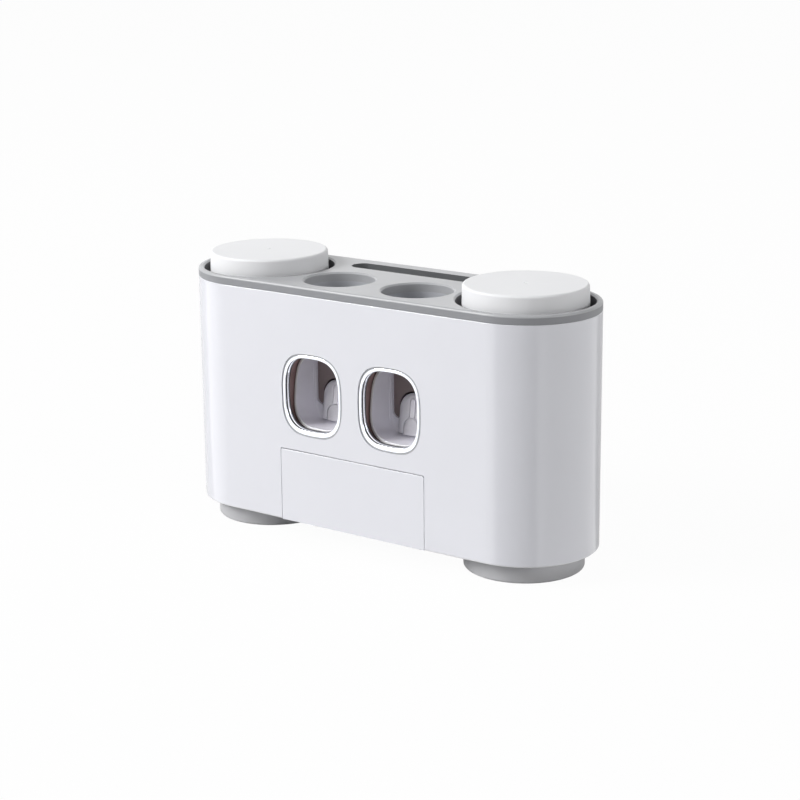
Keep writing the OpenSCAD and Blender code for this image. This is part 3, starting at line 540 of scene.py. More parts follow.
def dusted(tree, shader, under, dust, haze):  # joins a finish to the shader through dust and haze
    dusty = groupNode(tree, dustGroup, {
        "Colour": under.outputs["Colour"], "Roughness": under.outputs["Roughness"],
        "Dust": dust, "Haze": haze})
    tree.links.new(dusty.outputs["Colour"], shader.inputs["Base Color"])
    tree.links.new(dusty.outputs["Roughness"], shader.inputs["Roughness"])


def mouldedPlastic(name, colour, roughness, drift=0.02, glossDrift=0.03, grainSize=2000.0, grainDepth=0.012,
                   grainStrength=0.3, dust=0.15, haze=0.05, level=0.5):
    material, tree, shader = newMaterial(name)
    skin = groupNode(tree, skinGroup, {
        "Colour": (*colour, 1), "Colour drift": drift, "Roughness": roughness, "Gloss drift": glossDrift,
        "Grain size": grainSize})
    dusted(tree, shader, skin, dust, haze)
    bumped(tree, shader, skin.outputs["Height"], grainStrength, grainDepth)
    shader.inputs["Specular IOR Level"].default_value = level
    return material


def drawnMetal(name, colour, roughness, depth, stretch=(40.0, 900.0, 900.0), bumpDepth=0.004):
    material, tree, shader = newMaterial(name)
    lines = groupNode(tree, hairlineGroup, {
        "Colour": (*colour, 1), "Roughness": roughness, "Depth": depth, "Stretch": stretch})
    dusted(tree, shader, lines, 0.05, 0.04)
    shader.inputs["Metallic"].default_value = 1.0
    bumped(tree, shader, lines.outputs["Height"], 0.15, bumpDepth)
    return material


def makeFoam(name):  # closed-cell foam: small pits between paler walls
    material, tree, shader = newMaterial(name)
    objectPlace = tree.nodes.new("ShaderNodeTexCoord").outputs["Object"]
    cell = treeNode(tree, "ShaderNodeTexVoronoi", {"Vector": objectPlace, "Scale": 1400.0})
    wall = mapped(tree, cell.outputs["Distance"], 0.1, 0.55, 0.0, 1.0)
    colour = shadeMix(tree, "RGBA", wall, (0.42, 0.43, 0.44, 1), (0.62, 0.63, 0.64, 1))
    skin = groupNode(tree, skinGroup, {"Colour": colour, "Roughness": 0.85, "Grain size": 900.0})
    tree.links.new(skin.outputs["Colour"], shader.inputs["Base Color"])
    tree.links.new(skin.outputs["Roughness"], shader.inputs["Roughness"])
    bumped(tree, shader, wall, 0.6, 0.15)
    return material


glossWhite = mouldedPlastic("glossWhite", (0.755, 0.76, 0.81), 0.16, drift=0.008, glossDrift=0.02,
                            grainSize=90.0, grainDepth=0.02, grainStrength=0.05, dust=0.05, haze=0.03,
                            level=0.85)
matteWhite = mouldedPlastic("matteWhite", (0.84, 0.845, 0.86), 0.55, drift=0.01, grainSize=2600.0,
                            grainDepth=0.015, grainStrength=0.35, dust=0.1)
trayGrey = mouldedPlastic("trayGrey", (0.385, 0.39, 0.405), 0.40, drift=0.015, grainSize=2200.0, level=0.7)
# painted shade: a darker copy of the tray's grey for its upright side
traySideShade = mouldedPlastic("traySideShade", (0.255, 0.26, 0.275), 0.44, drift=0.015, grainSize=2200.0)
# painted shade: a dark grey for the storage pocket and the slot's walls, standing in for the shade inside
pocketShadeGrey = mouldedPlastic("pocketShadeGrey", (0.13, 0.135, 0.14), 0.4)
# painted light: a lighter copy of the tray's grey, for the lit walls inside the tube holes
sleeveLitGrey = mouldedPlastic("sleeveLitGrey", (0.45, 0.46, 0.49), 0.3)
footGrey = mouldedPlastic("footGrey", (0.50, 0.50, 0.515), 0.42)
# painted shade: near-black for the walls round the cups and for the grooves and collars of the window frames,
# where shade falls
paintedShadeDark = mouldedPlastic("paintedShadeDark", (0.11, 0.11, 0.115), 0.5, drift=0.03)
linerWhite = mouldedPlastic("linerWhite", (0.78, 0.77, 0.83), 0.33, drift=0.015, grainSize=1800.0,
                            grainDepth=0.008, grainStrength=0.2, dust=0.1)
fineGrain = {"drift": 0.01, "grainSize": 1800.0, "grainDepth": 0.006, "grainStrength": 0.15}
leverWhite = mouldedPlastic("leverWhite", (0.85, 0.84, 0.89), 0.28, dust=0.08, **fineGrain)
# painted shade: a darker copy of the lever's white for the pad's front, which faces the light
padShadeWhite = mouldedPlastic("padShadeWhite", (0.58, 0.57, 0.61), 0.28, dust=0.08, **fineGrain)
# painted highlight: a brighter white for the shell's lower round and each bowl's front rim, where light
# glints
paintedHighlightWhite = mouldedPlastic("paintedHighlightWhite", (0.90, 0.90, 0.92), 0.2, dust=0.05, **fineGrain)
# painted shade: a brown that stands in for the dark shade in the gap between each window frame and its bowl
gapShadeBrown = mouldedPlastic("gapShadeBrown", (0.31, 0.20, 0.19), 0.6, drift=0.03, grainSize=1500.0,
                             grainDepth=0.01)
# painted shade: a dark brown for the pumps and the plates behind the levers, standing in for the shade seen
# through each slot
pumpShadeDark = mouldedPlastic("pumpShadeDark", (0.21, 0.165, 0.165), 0.5, drift=0.03, grainSize=1800.0,
                          grainDepth=0.015, dust=0.2)
silicone = mouldedPlastic("silicone", (0.66, 0.67, 0.68), 0.48, drift=0.03, grainSize=1200.0,
                          grainDepth=0.02, dust=0.3)
sealRubber = mouldedPlastic("sealRubber", (0.03, 0.03, 0.032), 0.6, drift=0.1, grainSize=1600.0,
                            grainDepth=0.03, grainStrength=0.4, dust=0.4)
brightChrome = drawnMetal("brightChrome", (0.68, 0.70, 0.75), 0.07, 0.02, (300.0, 300.0, 300.0), 0.001)
drawnSteel = drawnMetal("drawnSteel", (0.62, 0.62, 0.63), 0.3, 0.1)
foam = makeFoam("foam")
print("finishes ready")

# Main sizes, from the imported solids

shellLow, shellHigh = nodeBox("outer_shell")
trayHigh = nodeBox("top_tray")[1]
endRadius = shellHigh.y
endDistance = shellHigh.x - endRadius
shellTop = shellHigh.z
frameLow, frameHigh = nodeBox("window_frame_right")
windowX = (frameLow.x + frameHigh.x) / 2
windowZ = (frameLow.z + frameHigh.z) / 2
sleeveLow, sleeveHigh = nodeBox("tube_sleeve_right")
tubeY = (sleeveLow.y + sleeveHigh.y) / 2
near = 0.1  # how far a face's middle may lie from the surface that a finish is meant for
steep = 0.5  # the share of a face's normal along an axis from which the face counts as facing that way


def fromEndAxis(centre):  # how far a point lies from the middle line between the two round ends
    return Vector((max(abs(centre.x) - endDistance, 0), centre.y)).length


def fromCupAxis(centre):
    return Vector((abs(centre.x) - endDistance, centre.y)).length


def windowReach(centre, width, height):  # 1 on a window outline of this size, less inside it
    across = abs(abs(centre.x) - windowX) / (width / 2)
    along = abs(centre.z - windowZ) / (height / 2)
    return across ** windowPower + along ** windowPower


# Outer shell

shellSizes = {
    "wall": 2.0, "floor": 2.0, "lowerRound": 1.2, "upperRound": 0.45, "innerRound": 0.3, "floorRound": 0.6,
    "edge": 0.25, "shine": 0.8, "footHole": 37.2,
    "windowWidth": 46.6, "windowHeight": 52.9, "windowDepth": 2.5,
    "bossOut": 26.5, "bossSeat": 25.3, "bossIn": 22.2, "bossTaller": 3.1, "bossFront": -40.8,
    "bossBack": -32.5, "bossSunk": 1.0, "brownFrom": 2.2, "brownReach": 0.97,
    "notchHalf": 13.0, "notchLow": 18.0, "notchFront": -36.2,
    "flapHalf": 54.7, "flapTop": 60.0, "flapDepth": 2.6, "flapLip": 0.7, "flapCorner": 1.1,
    "reliefLow": 3.0, "reliefHigh": 1.3, "handHalf": 50.0, "handBack": -20.4, "handUp": 0.5,
    "rearHalf": 70.3, "rearLow": 24.6, "rearHigh": 147.1, "rearCorner": 1.0, "rearGap": 0.3,
    "ledge": 4.3, "ledgeThick": 2.0, "ledgeSunk": 0.4, "postRadius": 3.4, "postLength": 7.0,
    "screwRadius": 1.2, "screwDepth": 6.5, "rackHole": 1.5, "rackScrewX": 30.0, "rackScrewY": -12.9,
    "earOut": 4.0, "earDeep": 8.0, "earLow": 51.6, "earHigh": 59.6, "earRound": 1.5,
    "hingeY": -41.4, "hingeZ": 55.6, "hingeHole": 1.66}


def makeBoss(side, s):  # a wall inside the shell round each window, stepped for the frame
    front = -endRadius + s["bossSunk"]
    centreX = sides[side] * windowX
    rings = []
    for half, y in ((s["bossOut"], front), (s["bossOut"], s["bossBack"]), (s["bossIn"], s["bossBack"]),
                    (s["bossIn"], s["bossFront"]), (s["bossSeat"], s["bossFront"]), (s["bossSeat"], front)):
        outline = windowOutline(2 * half, 2 * (half + s["bossTaller"]), (centreX, windowZ))
        rings.append([(x, y, z) for x, z in outline])
    boss = loft(rings, "boss", closed=True)
    notchHigh = windowZ + s["bossOut"] + s["bossTaller"] + over
    notch = block((centreX - s["notchHalf"], s["notchFront"], windowZ + s["notchLow"]),
                  (centreX + s["notchHalf"], s["bossBack"] + over, notchHigh))
    return combine(boss, [notch])  # the notch leaves room for the paste's passage


# faces round each window, in the gap behind the frame, that get the painted shade
def insideBoss(centre, normal):
    s = shellSizes
    reach = windowReach(centre, 2 * s["bossOut"], 2 * (s["bossOut"] + s["bossTaller"]))
    return -endRadius + s["brownFrom"] < centre.y < s["bossBack"] + near and reach < s["brownReach"]


def makeLedge(s, corners):  # the frame that the rear cover rests on, with a post for each screw
    rearIn = endRadius - s["wall"]
    outX = s["rearHalf"] + s["ledge"] - 2 * s["rearGap"]
    lowZ = s["rearLow"] - s["ledge"] + 2 * s["rearGap"]
    highZ = s["rearHigh"] + s["ledge"] - 2 * s["rearGap"]
    front = rearIn - s["ledgeThick"]
    back = rearIn + s["ledgeSunk"]
    ledge = prism(boxOutline(-outX, outX, lowZ, highZ), "y", front, back)
    inX, inLow = corners[-2]
    inHigh = corners[-1][1]
    combine(ledge, [prism(boxOutline(-inX, inX, inLow, inHigh), "y", front - over, back + over)])
    posts = [rod(s["postRadius"], corner, "y", rearIn - s["postLength"], rearIn, 48) for corner in corners]
    return combine(ledge, posts, "UNION")


def makeEar(side, s):  # carries a stub of the flip cover
    hinge = (s["hingeY"], s["hingeZ"])
    outline = roundedOutline(s["earDeep"], s["earHigh"] - s["earLow"], s["earRound"], hinge)
    ends = sorted((side * s["flapHalf"], side * (s["flapHalf"] + s["earOut"])))
    return prism(outline, "x", *ends)


def shellCuts(s, corners):
    base = shellLow.z
    floorTop = base + s["floor"]
    rearIn = endRadius - s["wall"]
    front = -endRadius - over
    flapOutline = roundedOutline(2 * s["flapHalf"], 2 * (s["flapTop"] - base), s["flapCorner"], (0, base), 4)
    rearOutline = roundedOutline(2 * s["rearHalf"], s["rearHigh"] - s["rearLow"], s["rearCorner"],
                                 (0, (s["rearHigh"] + s["rearLow"]) / 2), 4)
    cuts = [
        prism(flapOutline, "y", front, -endRadius + s["flapDepth"]),
        block((-s["flapHalf"], -endRadius + s["flapLip"], s["flapTop"] - s["reliefLow"]),
              (s["flapHalf"], -endRadius + s["flapDepth"], s["flapTop"] + s["reliefHigh"])),
        block((-s["handHalf"], front, base - over), (s["handHalf"], s["handBack"], floorTop + s["handUp"])),
        prism(rearOutline, "y", rearIn, endRadius + over)]
    for side in (-1, 1):
        window = windowOutline(s["windowWidth"], s["windowHeight"], (side * windowX, windowZ))
        rackScrew = (side * s["rackScrewX"], s["rackScrewY"])
        ends = sorted((side * (s["flapHalf"] - over), side * (s["flapHalf"] + s["earOut"] + over)))
        cuts.append(prism(window, "y", front, -endRadius + s["windowDepth"]))
        cuts.append(rod(s["footHole"], (side * endDistance, 0), "z", base - over, floorTop + over, 96))
        cuts.append(rod(s["rackHole"], rackScrew, "z", base - over, floorTop + over, 24))
        cuts.append(rod(s["hingeHole"], (s["hingeY"], s["hingeZ"]), "x", *ends, 24))
    cuts += [rod(s["screwRadius"], corner, "y", rearIn - s["screwDepth"], rearIn + over, 24)
             for corner in corners]
    return cuts


def makeShell(s):
    base = shellLow.z
    floorTop = base + s["floor"]
    inner = endRadius - s["wall"]
    shell = sweptWall("outer_shell_skin", [
        (0, base, 0), (endRadius, base, s["lowerRound"]), (endRadius, shellTop, s["upperRound"]),
        (inner, shellTop, s["innerRound"]), (inner, floorTop, s["floorRound"]), (0, floorTop, 0)],
        glossWhite, endDistance, columns=192)
    cornerX = s["rearHalf"] - s["ledge"]
    cornerZ = (s["rearLow"] + s["ledge"], s["rearHigh"] - s["ledge"])
    corners = [(x, z) for x in (-cornerX, cornerX) for z in cornerZ]
    ears = [makeEar(side, s) for side in (-1, 1)]
    bosses = [makeBoss(side, s) for side in sides]
    combine(shell, [makeLedge(s, corners)] + ears + bosses, "UNION")
    combine(shell, shellCuts(s, corners))
    return soften(shell, s["edge"], segments=2)


def onLowerEdge(centre, normal):  # the round along the shell's lower edge
    shine = shellSizes["shine"]
    return fromEndAxis(centre) > endRadius - shine and centre.z < shellLow.z + shine


shell = place(makeShell(shellSizes), "housing", "gloss_white", glossWhite, "outer_shell")
# painted shade: the walls round each window are brown where the gap behind the frame lies in shade
secondFinish(shell, gapShadeBrown, insideBoss)
# painted highlight along the shell's lower round
secondFinish(shell, paintedHighlightWhite, onLowerEdge)
print("outer shell ready")

# Top tray

traySizes = {
    "rim": 1.8, "plate": 2.5, "outerRound": 1.5, "innerRound": 0.2, "lowerRound": 0.4, "edge": 0.4,
    "cupRing": 44.5, "cupHole": 41.7, "tubeRing": 23.4, "tubeHole": 22.0, "chamfer": 1.0,
    "slotHalf": 42.75, "slotRadius": 7.25, "slotY": 27.75, "slotRing": 1.5,
    "skirtHalf": 50.0, "skirtLow": 152.8, "skirtIn": 41.5, "skirtOut": 43.1, "sideDepth": 0.3}


def slotOutline(grow):  # the outline of the long slot, grown by a margin
    s = traySizes
    radius = s["slotRadius"] + grow
    return roundedOutline(2 * (s["slotHalf"] + radius), 2 * radius, radius, (0, s["slotY"]), 16)


def makeTray(s):
    low = shellTop
    top = trayHigh.z
    under = top - s["plate"]
    inner = endRadius - s["rim"]
    tray = sweptWall("top_tray_moulding", [
        (0, under, 0), (inner, under, 0), (inner, low, s["innerRound"]), (endRadius, low, s["lowerRound"]),
        (endRadius, top, s["outerRound"]), (0, top, 0)], trayGrey, endDistance, columns=192)
    adds = [prism(slotOutline(s["slotRing"]), "z", low, top - over)]
    cuts = [prism(slotOutline(0), "z", low - over, top + over)]
    chamfers = []
    for side in (-1, 1):
        cup = (side * endDistance, 0)
        tube = (side * windowX, tubeY)
        for centre, ring, hole, steps in ((cup, s["cupRing"], s["cupHole"], 128),
                                          (tube, s["tubeRing"], s["tubeHole"], 96)):
            adds.append(rod(ring, centre, "z", low, top - over, steps))
            cuts.append(rod(hole, centre, "z", low - over, top + over, steps))
            narrow = circleOutline(hole - s["chamfer"], centre, 128)
            wide = circleOutline(hole + 2 * s["chamfer"], centre, 128)
            chamfers.append(loft([[(x, y, top - 2 * s["chamfer"]) for x, y in narrow],
                                  [(x, y, top + s["chamfer"]) for x, y in wide]]))
        skirtNear, skirtFar = sorted((side * s["skirtIn"], side * s["skirtOut"]))
        adds.append(block((-s["skirtHalf"], skirtNear, s["skirtLow"]),
                          (s["skirtHalf"], skirtFar, under + over)))
    combine(tray, adds, "UNION")
    combine(tray, cuts)
    combine(tray, chamfers)
    return soften(tray, s["edge"])


def insideCupHole(centre, normal):  # the upright walls of the cups' holes
    s = traySizes
    return fromCupAxis(centre) < s["cupHole"] + near and centre.z < trayHigh.z - s["chamfer"]


def insideSlot(centre, normal):
    s = traySizes
    across = abs(centre.y - s["slotY"]) < s["slotRadius"] + near
    along = abs(centre.x) < s["slotHalf"] + s["slotRadius"]
    return across and along and centre.z < trayHigh.z - s["edge"] and abs(normal.z) < steep


def onTraySide(centre, normal):  # the upright side of the tray's rim
    s = traySizes
    upright = shellTop < centre.z < trayHigh.z - s["outerRound"]
    return upright and fromEndAxis(centre) > endRadius - s["sideDepth"]


tray = place(makeTray(traySizes), "housing", "tray_grey", trayGrey, "top_tray")
# painted shade: the tray's upright side darker than its top
secondFinish(tray, traySideShade, onTraySide)
# painted shade on the walls of the cups' holes
secondFinish(tray, paintedShadeDark, insideCupHole)
# painted shade on the walls inside the slot
secondFinish(tray, pocketShadeGrey, insideSlot)
print("top tray ready")

# Cups and their wells

cupSizes = {"mouth": 40.0, "base": 37.5, "wall": 1.8, "baseThick": 2.2, "baseRound": 1.7, "lip": 0.8,
            "floorRound": 2.0, "gate": 1.3, "gateSlope": 0.3, "gateDepth": 0.4}
wellSizes = {"foot": 36.9, "footRound": 1.3, "collar": 39.4, "collarThick": 1.5, "outer": 43.1, "inner": 41.7,
             "lowInner": 35.5, "floor": 1.8, "ledge": 69.0, "wall": 1.4, "drain": 2.5, "drainRing": 20.0,
             "drainCount": 6, "treadRadius": 31.0, "treadDepth": 0.5, "treadWidth": 1.2, "edge": 0.2}


def makeCup(side, s):
    low, high = nodeBox("cup_" + side)
    top = high.z
    centre = ((low.x + high.x) / 2, 0, 0)
    return sweptWall("cup_" + side + "_moulding", [
        (0, top - s["gateDepth"], 0), (s["gate"] - s["gateSlope"], top - s["gateDepth"], 0.2),
        (s["gate"], top, 0.15), (s["base"], top, s["baseRound"]), (s["mouth"], low.z, s["lip"]),
        (s["mouth"] - s["wall"], low.z, s["lip"]),
        (s["base"] - s["wall"], top - s["baseThick"], s["floorRound"]), (0, top - s["baseThick"], 0)],
        matteWhite, centre=centre, columns=160, cornerSteps=7)


def makeWell(side, s):
    centre = (sides[side] * endDistance, 0)
    floorTop = shellLow.z + shellSizes["floor"]
    under = s["ledge"] - s["wall"]
    tread = s["treadRadius"]
    well = sweptWall("cup_well_" + side + "_moulding", [
        (0, s["treadDepth"], 0), (tread, s["treadDepth"], 0.2), (tread + s["treadWidth"], 0, 0.3),
        (s["foot"], 0, s["footRound"]), (s["foot"], floorTop, 0.2), (s["collar"], floorTop, 0.2),
        (s["collar"], floorTop + s["collarThick"], 0.3), (s["foot"], floorTop + s["collarThick"], 0.2),
        (s["foot"], under, 1.0), (s["outer"], under, 0.5), (s["outer"], shellTop, 0.1),
        (s["inner"], shellTop, 0.1), (s["inner"], s["ledge"], 0.8), (s["lowInner"], s["ledge"], 0.6),
        (s["lowInner"], s["floor"], 1.5), (0, s["floor"], 0)],
        footGrey, centre=(*centre, 0), columns=160)
    spots = [centre] + circleOutline(s["drainRing"], centre, s["drainCount"])
    combine(well, [rod(s["drain"], spot, "z", -over, s["floor"] + over) for spot in spots])
    return soften(well, s["edge"], segments=2)


def insideWell(centre, normal):  # the wall round the cup and the ledge under its mouth
    return fromCupAxis(centre) < wellSizes["inner"] + near and centre.z > wellSizes["ledge"] - near


for side in sides:
    place(smooth(makeCup(side, cupSizes)), "cup_" + side, "matte_white", matteWhite, "cup_" + side)
    well = place(makeWell(side, wellSizes), "housing", "well_grey", footGrey, "cup_well_" + side)
    # painted shade on the wall round each cup and the ledge under its mouth
    secondFinish(well, paintedShadeDark, insideWell)
print("cups and wells ready")

# Storage pocket, tube sleeves and inlet adapters

pocketSizes = {"wall": 1.5, "floor": 1.5, "low": 80.0, "drain": 2.5, "drainGap": 25.0, "edge": 0.2}
sleeveSizes = {"wall": 1.4, "floor": 2.0, "hole": 9.3}
adapterSizes = {"spigot": 4.1, "inlet": 2.5, "flange": 9.0, "flangeThick": 3.0, "outer": 8.5, "neck": 6.5,
                "spigotLength": 4.0, "neckLength": 9.0, "ribCount": 4, "ribHeight": 0.35, "ribHalf": 0.5}


def makePocket(s):
    radius = traySizes["slotRadius"]
    outer = radius + s["wall"]
    floorTop = s["low"] + s["floor"]
    pocket = sweptWall("storage_pocket_moulding", [
        (0, s["low"], 0), (outer, s["low"], 2.0), (outer, shellTop, 0.1), (radius, shellTop, 0.1),
        (radius, floorTop, 1.5), (0, floorTop, 0)],
        pocketShadeGrey, traySizes["slotHalf"], (0, traySizes["slotY"], 0), 64)
    spots = [((i - 1) * s["drainGap"], traySizes["slotY"]) for i in range(3)]
    combine(pocket, [rod(s["drain"], spot, "z", s["low"] - over, floorTop + over) for spot in spots])
    return soften(pocket, s["edge"], segments=2)


def makeSleeve(side, s):
    radius = traySizes["tubeHole"]
    outer = radius + s["wall"]
    base = sleeveLow.z
    return sweptWall("tube_sleeve_" + side + "_moulding", [
        (s["hole"], base, 0.2), (outer, base, 0.8), (outer, shellTop, 0.1), (radius, shellTop, 0.1),
        (radius, base + s["floor"], 1.5), (s["hole"], base + s["floor"], 0.3)],
        sleeveLitGrey, centre=(sides[side] * windowX, tubeY, 0), columns=96, closed=True)


def makeAdapter(side, s):
    low, high = nodeBox("inlet_adapter_" + side)
    base = low.z + s["spigotLength"]
    shoulder = base + s["flangeThick"]
    outline = [(s["inlet"], low.z, 0.1), (s["spigot"], low.z, 0.3), (s["spigot"], base, 0.1),
               (s["flange"], base, 0.3), (s["flange"], shoulder, 0.5), (s["outer"], shoulder, 0.2),
               (s["outer"], high.z, 0.6), (s["neck"], high.z, 0.6)]
    step = s["neckLength"] / (s["ribCount"] + 1)
    for i in range(s["ribCount"]):
        height = high.z - (i + 1) * step
        outline += [(s["neck"], height + s["ribHalf"], 0.1), (s["neck"] - s["ribHeight"], height, 0.15),
                    (s["neck"], height - s["ribHalf"], 0.1)]
    outline += [(s["neck"], shoulder, 0.4), (s["inlet"], shoulder, 0.3)]
    return sweptWall("inlet_adapter_" + side + "_moulding", outline, silicone,
                     centre=(sides[side] * windowX, tubeY, 0), columns=64, cornerSteps=3, closed=True)


# the whole pocket in the painted-shade grey
place(makePocket(pocketSizes), "housing", "tray_grey", pocketShadeGrey, "storage_pocket")
for side in sides:
    # the sleeves in a painted-light copy of the tray's grey
    place(smooth(makeSleeve(side, sleeveSizes)), "housing", "tray_grey", sleeveLitGrey, "tube_sleeve_" + side)
    place(smooth(makeAdapter(side, adapterSizes)), "housing", "silicone", silicone, "inlet_adapter_" + side)
print("pocket, sleeves and adapters ready")

# Window frames

windowSizes = {
    "width": 44.7, "height": 51.0, "openWidth": 41.0, "openHeight": 46.4, "openRise": 0.45, "depth": 4.4,
    "flange": 2.65, "flangeThick": 1.2, "fit": 0.05, "sill": 0.85, "sillDepth": 0.6, "sillFrom": 1.01,
    "sillBack": 1.2, "sideDepth": 0.45, "lipDepth": 0.6, "lipSlope": 0.03, "collar": 1.0, "collarStep": 0.3,
    "beadDepth": 1.9, "beadRadius": 1.3, "beadSteps": 9, "beadGap": 0.02, "beadShare": 0.2}
faceRows = [  # share of the way from the frame's outline to its opening, and depth behind the front
    (0.04, 0.26), (0.12, 0.12), (0.24, 0.03), (0.40, 0.0),
    (0.62, 0.0), (0.78, 0.05), (0.90, 0.18), (0.97, 0.36)]


def makeFrame(side, s):
    front = -endRadius
    inside = front + shellSizes["wall"]
    back = inside + s["flangeThick"]
    end = front + s["depth"]
    lip = front + s["lipDepth"]
    bead = front + s["beadDepth"]

    def outer(grow, y):
        return (s["width"] + 2 * grow, s["height"] + 2 * grow, 0.0, y)

    def opening(grow, y):
        return (s["openWidth"] + 2 * grow, s["openHeight"] + 2 * grow, s["openRise"], y)

    def between(share, y):
        first = outer(0, y)
        last = opening(0, y)
        return tuple(a + (b - a) * share for a, b in zip(first, last))

    rows = [outer(s["flange"], back), outer(s["flange"], inside + s["fit"]),
            outer(s["sill"], inside + s["fit"]), outer(s["sill"], front + s["sillDepth"]),
            outer(0, front + s["sillDepth"]), outer(0, front + s["sideDepth"])]
    rows += [between(share, front + depth) for share, depth in faceRows]
    rows += [opening(0, lip), opening(s["collar"], lip + s["lipSlope"]),
             opening(s["collar"], bead - s["beadGap"])]
    for step in range(s["beadSteps"] + 1):  # the rounded bead behind the groove
        turn = math.radians(90 * step / s["beadSteps"])
        rows.append(opening(s["collar"] - s["beadRadius"] * math.sin(turn),
                            bead + s["beadRadius"] * (1 - math.cos(turn))))
    rows += [opening(s["collar"] - s["beadRadius"], end), opening(s["collar"] + s["collarStep"], end),
             opening(s["collar"] + s["collarStep"], back)]
    rings = []
    for width, height, rise, y in rows:
        outline = windowOutline(width, height, (sides[side] * windowX, windowZ + rise), steps=40)
        rings.append([(x, y, z) for x, z in outline])
    return smooth(loft(rings, "window_frame_" + side + "_bright", closed=True), 40)


def inSill(centre, normal):  # the groove round a frame
    s = windowSizes
    reach = windowReach(centre, s["width"], s["height"])
    return reach > s["sillFrom"] and centre.y < -endRadius + s["sillBack"]


def inGroove(centre, normal):  # the groove round its opening
    s = windowSizes
    reach = windowReach(centre, s["width"], s["height"])
    grooveBack = s["beadDepth"] + s["beadShare"] * s["beadRadius"]
    return reach < 1 and s["lipDepth"] < centre.y + endRadius < grooveBack


def inCollar(centre, normal):  # the straight wall behind the bead
    return centre.y > -endRadius + windowSizes["beadDepth"] + windowSizes["beadRadius"]


for side in sides:
    node = "window_frame_" + side
    bright = place(makeFrame(side, windowSizes), "housing", "bright_frame", brightChrome, node)
    # painted shade: the groove round each frame in the tray's grey, and the groove and collar of each opening
    # near-black, in place of chrome
    secondFinish(bright, trayGrey, inSill)
    secondFinish(bright, paintedShadeDark, inGroove)
    secondFinish(bright, paintedShadeDark, inCollar)
print("window frames ready")

# Squeezer bowls, levers and nozzles

bowlSizes = {
    "wall": 1.8, "frontHalf": 19.9, "backHalf": 15.9, "height": 45.4, "frontPower": 3.0, "backPower": 4.6,
    "rimY": -38.4, "backY": -20.4, "lean": 8.0, "backRound": 1.8, "backSteps": 6, "backGap": 0.6,
    "depthSteps": 8, "rimSteps": 8, "rimFlat": 0.7, "edge": 0.35, "hollowGrow": 0.4,
    "slotHalf": 15.37, "slotLow": 84.43, "slotHigh": 117.21, "slotCorner": 3.9, "slotFront": 1.9,
    "footSlotHalf": 10.75, "footSlotLow": 74.85, "nozzleY": -30.85, "nozzleHole": 3.25,
    "nozzleLow": 15.0, "nozzleHigh": 30.0, "postX": 18.6, "postLow": 82.45, "postHigh": 109.85,
    "postRadius": 3.0, "postLength": 9.0, "screwRadius": 1.2, "screwDepth": 5.3, "rimNear": 0.8,
    "legX": 12.0, "legHalf": 2.0, "legDepth": 8.0, "legLow": 65.8, "legHigh": 77.45}


def bowlPosts(centreX):  # where the four screws go into a bowl
    s = bowlSizes
    return [(centreX + hand * s["postX"], z) for hand in (-1, 1) for z in (s["postLow"], s["postHigh"])]


